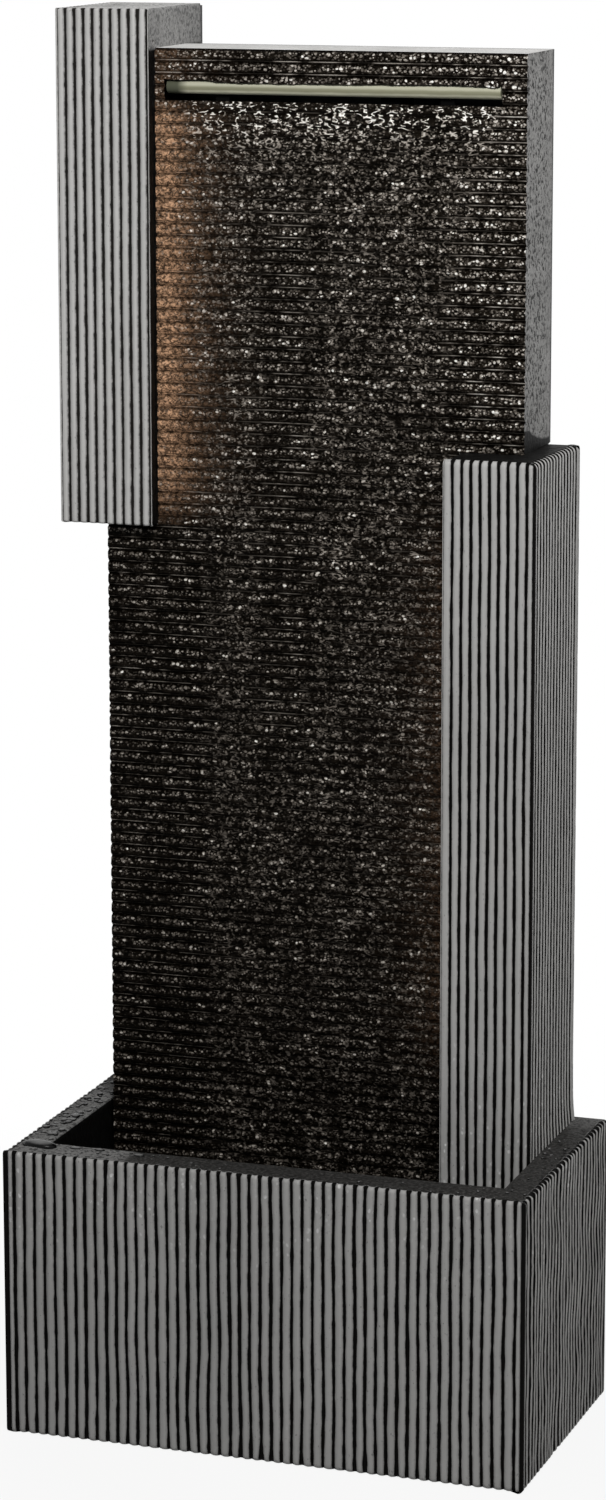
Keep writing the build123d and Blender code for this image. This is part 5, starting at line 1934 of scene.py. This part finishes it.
@dataclass
class Droplets:
    """Beads of water left on the rim.

    The large ones are given by X, Y, half length, half width and height.
    """

    seed: int = 17
    large: Tuple[Floats, ...] = (
        (-174.5 * MM, -88.5 * MM, 12.0 * MM, 6.6 * MM, 4.8 * MM),
        (-177.6 * MM, -10.0 * MM, 3.4 * MM, 4.6 * MM, 2.2 * MM),
        (-97.8 * MM, -89.4 * MM, 4.2 * MM, 2.6 * MM, 2.0 * MM),
        (-129.8 * MM, -85.0 * MM, 4.6 * MM, 2.2 * MM, 1.5 * MM),
        (-147.6 * MM, -86.0 * MM, 5.6 * MM, 2.4 * MM, 1.5 * MM),
    )
    left: BeadPatch = BeadPatch(70, (-0.190, -0.173), (-0.085, 0.085), (0.9 * MM, 3.0 * MM))
    left_width: Span = (0.8, 1.3)
    left_height: Span = (0.5, 0.8)
    front: BeadPatch = BeadPatch(26, (-0.17, 0.18), (-0.104, -0.082), (0.6 * MM, 1.5 * MM))
    front_width: Span = (0.8, 1.4)
    front_height: float = 0.5
    right: BeadPatch = BeadPatch(18, (0.174, 0.189), (-0.09, 0.05), (0.6 * MM, 1.6 * MM))
    right_height: float = 0.55
    outline_points: int = 18
    outline_waves: Tuple[Tuple[int, float], ...] = ((2, 0.10), (3, 0.07))
    outline_turn: float = 6.3
    ring_shares: Floats = (1.02, 0.97, 0.86, 0.68, 0.45, 0.2, 0.02)
    sunk: float = 0.4 * MM
    # Outer share of each bead that takes the painted dark rim.
    dark_ring: Span = (0.62, 0.8)
    sharp: float = 80.0

    def place(self) -> None:
        """Makes the beads as one piece on the rim."""
        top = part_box("basin")[1].z
        rng = np.random.default_rng(self.seed)
        builder = MeshBuilder("rim_droplets")
        beads = self.beads(rng)
        for bead in beads:
            self.bead(builder, rng, top, *bead)
        piece = builder.finish([Droplet()], self.sharp)
        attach(piece, Body.FOUNTAIN.value)
        LOG.info("%s: %d beads", piece.name, len(beads))

    def beads(self, rng: Random) -> List[Floats]:
        """Scatters the small beads after the large ones.

        Args:
            rng: Seeded source of places and sizes.

        Returns:
            X, Y, half length, half width and height of each bead.
        """
        beads = list(self.large)
        for _ in range(self.left.count):
            x, y, size = rng.uniform(*self.left.x), rng.uniform(*self.left.y), rng.uniform(*self.left.radius)
            beads.append((x, y, size, size * rng.uniform(*self.left_width), size * rng.uniform(*self.left_height)))
        for _ in range(self.front.count):
            x, size, y = rng.uniform(*self.front.x), rng.uniform(*self.front.radius), rng.uniform(*self.front.y)
            beads.append((x, y, size, size * rng.uniform(*self.front_width), size * self.front_height))
        for _ in range(self.right.count):
            size, x, y = rng.uniform(*self.right.radius), rng.uniform(*self.right.x), rng.uniform(*self.right.y)
            beads.append((x, y, size, size, size * self.right_height))
        return beads

    def bead(self, builder: MeshBuilder, rng: Random, top: float, x: float, y: float, a: float,
             b: float, height: float) -> None:
        """One flattened bead with an uneven outline.

        Args:
            builder: Builder of the beads.
            rng: Seeded source of the outline.
            top: Height of the rim.
            x: X of its middle.
            y: Y of its middle.
            a: Half length along X.
            b: Half width along Y.
            height: Height.
        """
        turns = np.linspace(0, FULL_TURN, self.outline_points, endpoint=False)
        outline = np.ones_like(turns)
        for waves, size in self.outline_waves:
            outline = outline + size * np.sin(waves * turns + rng.uniform(0, self.outline_turn))
        widest = self.ring_shares[0]
        lifts = [(1.0, -self.sunk)]
        lifts += [(share, height * math.sqrt(max(0.0, 1 - (share / widest) ** 2))) for share in self.ring_shares]
        loft = Loft()
        for share, lift in lifts:
            ring = np.stack([x + a * share * outline * np.cos(turns), y + b * share * outline * np.sin(turns),
                             np.full(len(turns), top + lift)], axis=1)
            loft.ring(ring, 0, ring=smooth(*self.dark_ring, share))
        loft.into(builder)


@dataclass
class RearPieces:
    """Finishes of the pieces that keep their own shape, and how far their edges are eased."""

    ease: float = 0.6 * MM
    ease_share: float = 0.08
    ease_angle: float = 40.0
    ease_segments: int = 3
    cap_ease: float = 2.4 * MM

    def finishes(self) -> Dict[Finish, Tuple[str, ...]]:
        """Nodes that take each finish.

        Returns:
            Names of the nodes by finish.
        """
        low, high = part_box("water_bar")
        return {
            Moulding("rear_plate", (0.035, 0.035, 0.036), 0.62, 480.0, 0.5 * MM, 0.2):
                ("rear_cover", "left_pillar_back", "right_pillar_back"),
            Moulding("door_plate", (0.045, 0.045, 0.046), 0.55, 700.0, 0.4 * MM, 0.2):
                ("access_door", "door_knob", "door_catch"),
            Moulding("plated_steel", (0.52, 0.52, 0.50), 0.34, 800.0, 0.1 * MM, 0.12, metallic=1.0):
                ("strike_plate", "hinge_pins", "cover_screws", "pillar_back_screws", "pillar_bolts", "pillar_nuts",
                 "hose_clamps"),
            Moulding("soft_rubber", (0.018, 0.018, 0.018), 0.78, drift=0.2):
                ("cable_grommet", "drain_plug", "suction_cups"),
            TubePlastic("aged_tube", (low.z + high.z) / 2, (high.z - low.z) / 2): ("water_bar", "water_bar_caps"),
            # Near black: painted shade of the shadow under the water bar, where the saddles and the elbow sit.
            Moulding("shade_black_fitting", (0.003, 0.003, 0.003), 0.8, gloss=0.03):
                ("water_bar_saddles", "feed_elbow", "hose_clips"),
            Moulding("hose_vinyl", (0.72, 0.76, 0.74), 0.2, 200.0, 0.3 * MM, 0.08, clear=0.7): ("supply_hose",),
            Moulding("pump_shell", (0.028, 0.029, 0.032), 0.42, 1000.0):
                ("pump_housing", "pump_strainer", "chamber_cover", "outlet_barb"),
            Moulding("rotor_plastic", (0.14, 0.14, 0.16), 0.4, drift=0.12): ("flow_dial", "pump_impeller"),
            Moulding("white_shaft", (0.82, 0.81, 0.77), 0.2, relief=0.05 * MM, drift=0.05): ("impeller_shaft",),
            Moulding("drawn_channel", (0.72, 0.72, 0.73), 0.36, 500.0, 0.1 * MM, 0.08, 1.0, (1, 1, 0.02)):
                ("left_light_channel", "right_light_channel"),
            Moulding("white_board", (0.78, 0.78, 0.74), 0.45, relief=0.1 * MM, drift=0.06):
                ("left_light_board", "right_light_board"),
            Moulding("amber_lens", (0.20, 0.09, 0.035), 0.4, 600.0, drift=0.06, glow=0.12):
                ("left_light_lens", "right_light_lens"),
        }

    def place(self) -> None:
        """Dresses every node that stays, with its edges eased."""
        for finish, names in self.finishes().items():
            for name in names:
                self.dress(name, finish)

    def dress(self, name: str, finish: Finish) -> None:
        """Gives one node its finish.

        Args:
            name: Name of the node.
            finish: Its finish.
        """
        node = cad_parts[name]
        node.data.materials.clear()
        node.data.materials.append(finish.material())
        low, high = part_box(name)
        ease = node.modifiers.new("eased_edges", "BEVEL")
        thin = self.ease_share * min(high - low)
        ease.width = self.cap_ease if name == "water_bar_caps" else min(self.ease, thin)
        ease.segments = self.ease_segments
        ease.limit_method = "ANGLE"
        ease.angle_limit = math.radians(self.ease_angle)
        LOG.info("%s: %s", name, finish.name)


@dataclass(frozen=True)
class Lamp:
    """A soft lamp: where it stands, what it points at, its width and height, and its watts."""

    name: str
    place: Triple
    aim: Triple
    size: Span
    power: float
    colour: Triple = (1.0, 0.995, 0.975)


@dataclass
class Studio:
    """Camera, lamps, floor and surroundings. The camera's angles are in degrees."""

    target: Triple = (-0.00223, -0.0061, 0.4982)
    distance: float = 3.2067
    yaw: float = 18.89
    pitch: float = 11.73
    roll: float = 0.07
    lens: float = 108.2
    sensor: float = 36.0
    far: float = 60.0
    lamps: Tuple[Lamp, ...] = (
        Lamp("key", (0.50, -1.18, 1.83), (0.0, 0.0, 0.60), (0.5, 0.45), 26.0),
        Lamp("fill", (0.94, -0.19, 1.28), (0.1, 0.0, 0.55), (0.35, 0.5), 0.45),
    )
    floor_radius: float = 2.4
    floor_drop: float = 0.4 * MM
    floor_level: float = 0.55
    floor_roughness: float = 0.9
    floor_gloss: float = 0.1
    shadow_reach: Span = (0.2, 0.8)
    shadow_fade: Span = (0.90, 1.0)
    surroundings: Span = (0.12, 1.0)

    def place(self) -> None:
        """Sets the whole stage."""
        self.camera()
        for lamp in self.lamps:
            self.lamp(lamp)
        self.floor()
        self.world()
        bpy.context.scene.view_settings.view_transform = "Standard"

    def camera(self) -> None:
        """Camera at the photograph's viewing angle."""
        data = bpy.data.cameras.new("camera")
        data.lens = self.lens
        data.sensor_width = self.sensor
        data.clip_end = self.far
        camera = bpy.data.objects.new("camera", data)
        bpy.context.scene.collection.objects.link(camera)
        yaw, pitch = math.radians(self.yaw), math.radians(self.pitch)
        back = Vector((math.sin(yaw) * math.cos(pitch), -math.cos(yaw) * math.cos(pitch), math.sin(pitch)))
        turn = (-back).to_track_quat("-Z", "Y").to_matrix().to_4x4()
        turn = turn @ Matrix.Rotation(math.radians(-self.roll), 4, "Z")
        camera.matrix_world = Matrix.Translation(Vector(self.target) + back * self.distance) @ turn
        bpy.context.scene.camera = camera

    def lamp(self, lamp: Lamp) -> None:
        """Puts up one soft lamp.

        Args:
            lamp: The lamp.
        """
        data = bpy.data.lights.new(lamp.name, "AREA")
        data.shape = "RECTANGLE"
        data.size, data.size_y = lamp.size
        data.energy = lamp.power
        data.color = lamp.colour
        light = bpy.data.objects.new(lamp.name, data)
        bpy.context.scene.collection.objects.link(light)
        light.location = lamp.place
        light.rotation_euler = (Vector(lamp.aim) - Vector(lamp.place)).to_track_quat("-Z", "Y").to_euler()
        LOG.info("%s lamp: %.2f W", lamp.name, lamp.power)

    def floor(self) -> None:
        """Pale floor that keeps a soft shadow."""
        bpy.ops.mesh.primitive_circle_add(vertices=96, radius=self.floor_radius, fill_type="NGON",
                                          location=(0, 0, -self.floor_drop))
        floor = bpy.context.object
        floor.name = "floor"
        tree = ShaderTree("pale_floor")
        tree.set(Base_Color=tone(self.floor_level), Roughness=self.floor_roughness,
                 Specular_IOR_Level=self.floor_gloss)
        white = tree.nodes.new("ShaderNodeEmission")
        white.inputs["Strength"].default_value = 1.0
        blend = tree.nodes.new("ShaderNodeMixShader")
        reach = tree.nodes.new("ShaderNodeVectorMath")
        reach.operation = "LENGTH"
        tree.links.new(tree.place, reach.inputs[0])
        fade = tree.nodes.new("ShaderNodeMapRange")
        tree.links.new(reach.outputs["Value"], fade.inputs["Value"])
        limits = self.shadow_reach + self.shadow_fade
        for key, value in zip(("From Min", "From Max", "To Min", "To Max"), limits):
            fade.inputs[key].default_value = value
        tree.join(tree.times(self.seen(tree.material.node_tree), fade.outputs[0]), blend.inputs[0])
        tree.links.new(tree.shader.outputs[0], blend.inputs[1])
        tree.links.new(white.outputs[0], blend.inputs[2])
        tree.links.new(blend.outputs[0], tree.output.inputs[0])
        floor.data.materials.append(tree.material)

    @staticmethod
    def seen(tree: bpy.types.NodeTree) -> Any:
        """1 for rays that look at the surroundings: camera, glossy and transmitted ones.

        Args:
            tree: Tree of the floor or of the world.

        Returns:
            The output.
        """
        path = tree.nodes.new("ShaderNodeLightPath")
        found = path.outputs["Is Camera Ray"]
        for ray in ("Is Glossy Ray", "Is Transmission Ray"):
            larger = tree.nodes.new("ShaderNodeMath")
            larger.operation = "MAXIMUM"
            tree.links.new(found, larger.inputs[0])
            tree.links.new(path.outputs[ray], larger.inputs[1])
            found = larger.outputs[0]
        return found

    def world(self) -> None:
        """White surroundings to the eye, softer as a light."""
        world = bpy.data.worlds.new("surroundings")
        bpy.context.scene.world = world
        world.use_nodes = True
        tree = world.node_tree
        back = tree.nodes["Background"]
        back.inputs["Color"].default_value = tone(1.0)
        strength = tree.nodes.new("ShaderNodeMapRange")
        tree.links.new(self.seen(tree), strength.inputs["Value"])
        strength.inputs["To Min"].default_value, strength.inputs["To Max"].default_value = self.surroundings
        tree.links.new(strength.outputs[0], back.inputs["Strength"])


def main() -> None:
    """Builds the fountain and its stage."""
    logging.basicConfig(level=logging.INFO, format="%(name)s %(message)s")
    for part in (Basin, RightPillar, LeftPillar, WaterWall, Droplets, RearPieces, Studio):
        part().place()


if __name__ == "__main__":
    main()
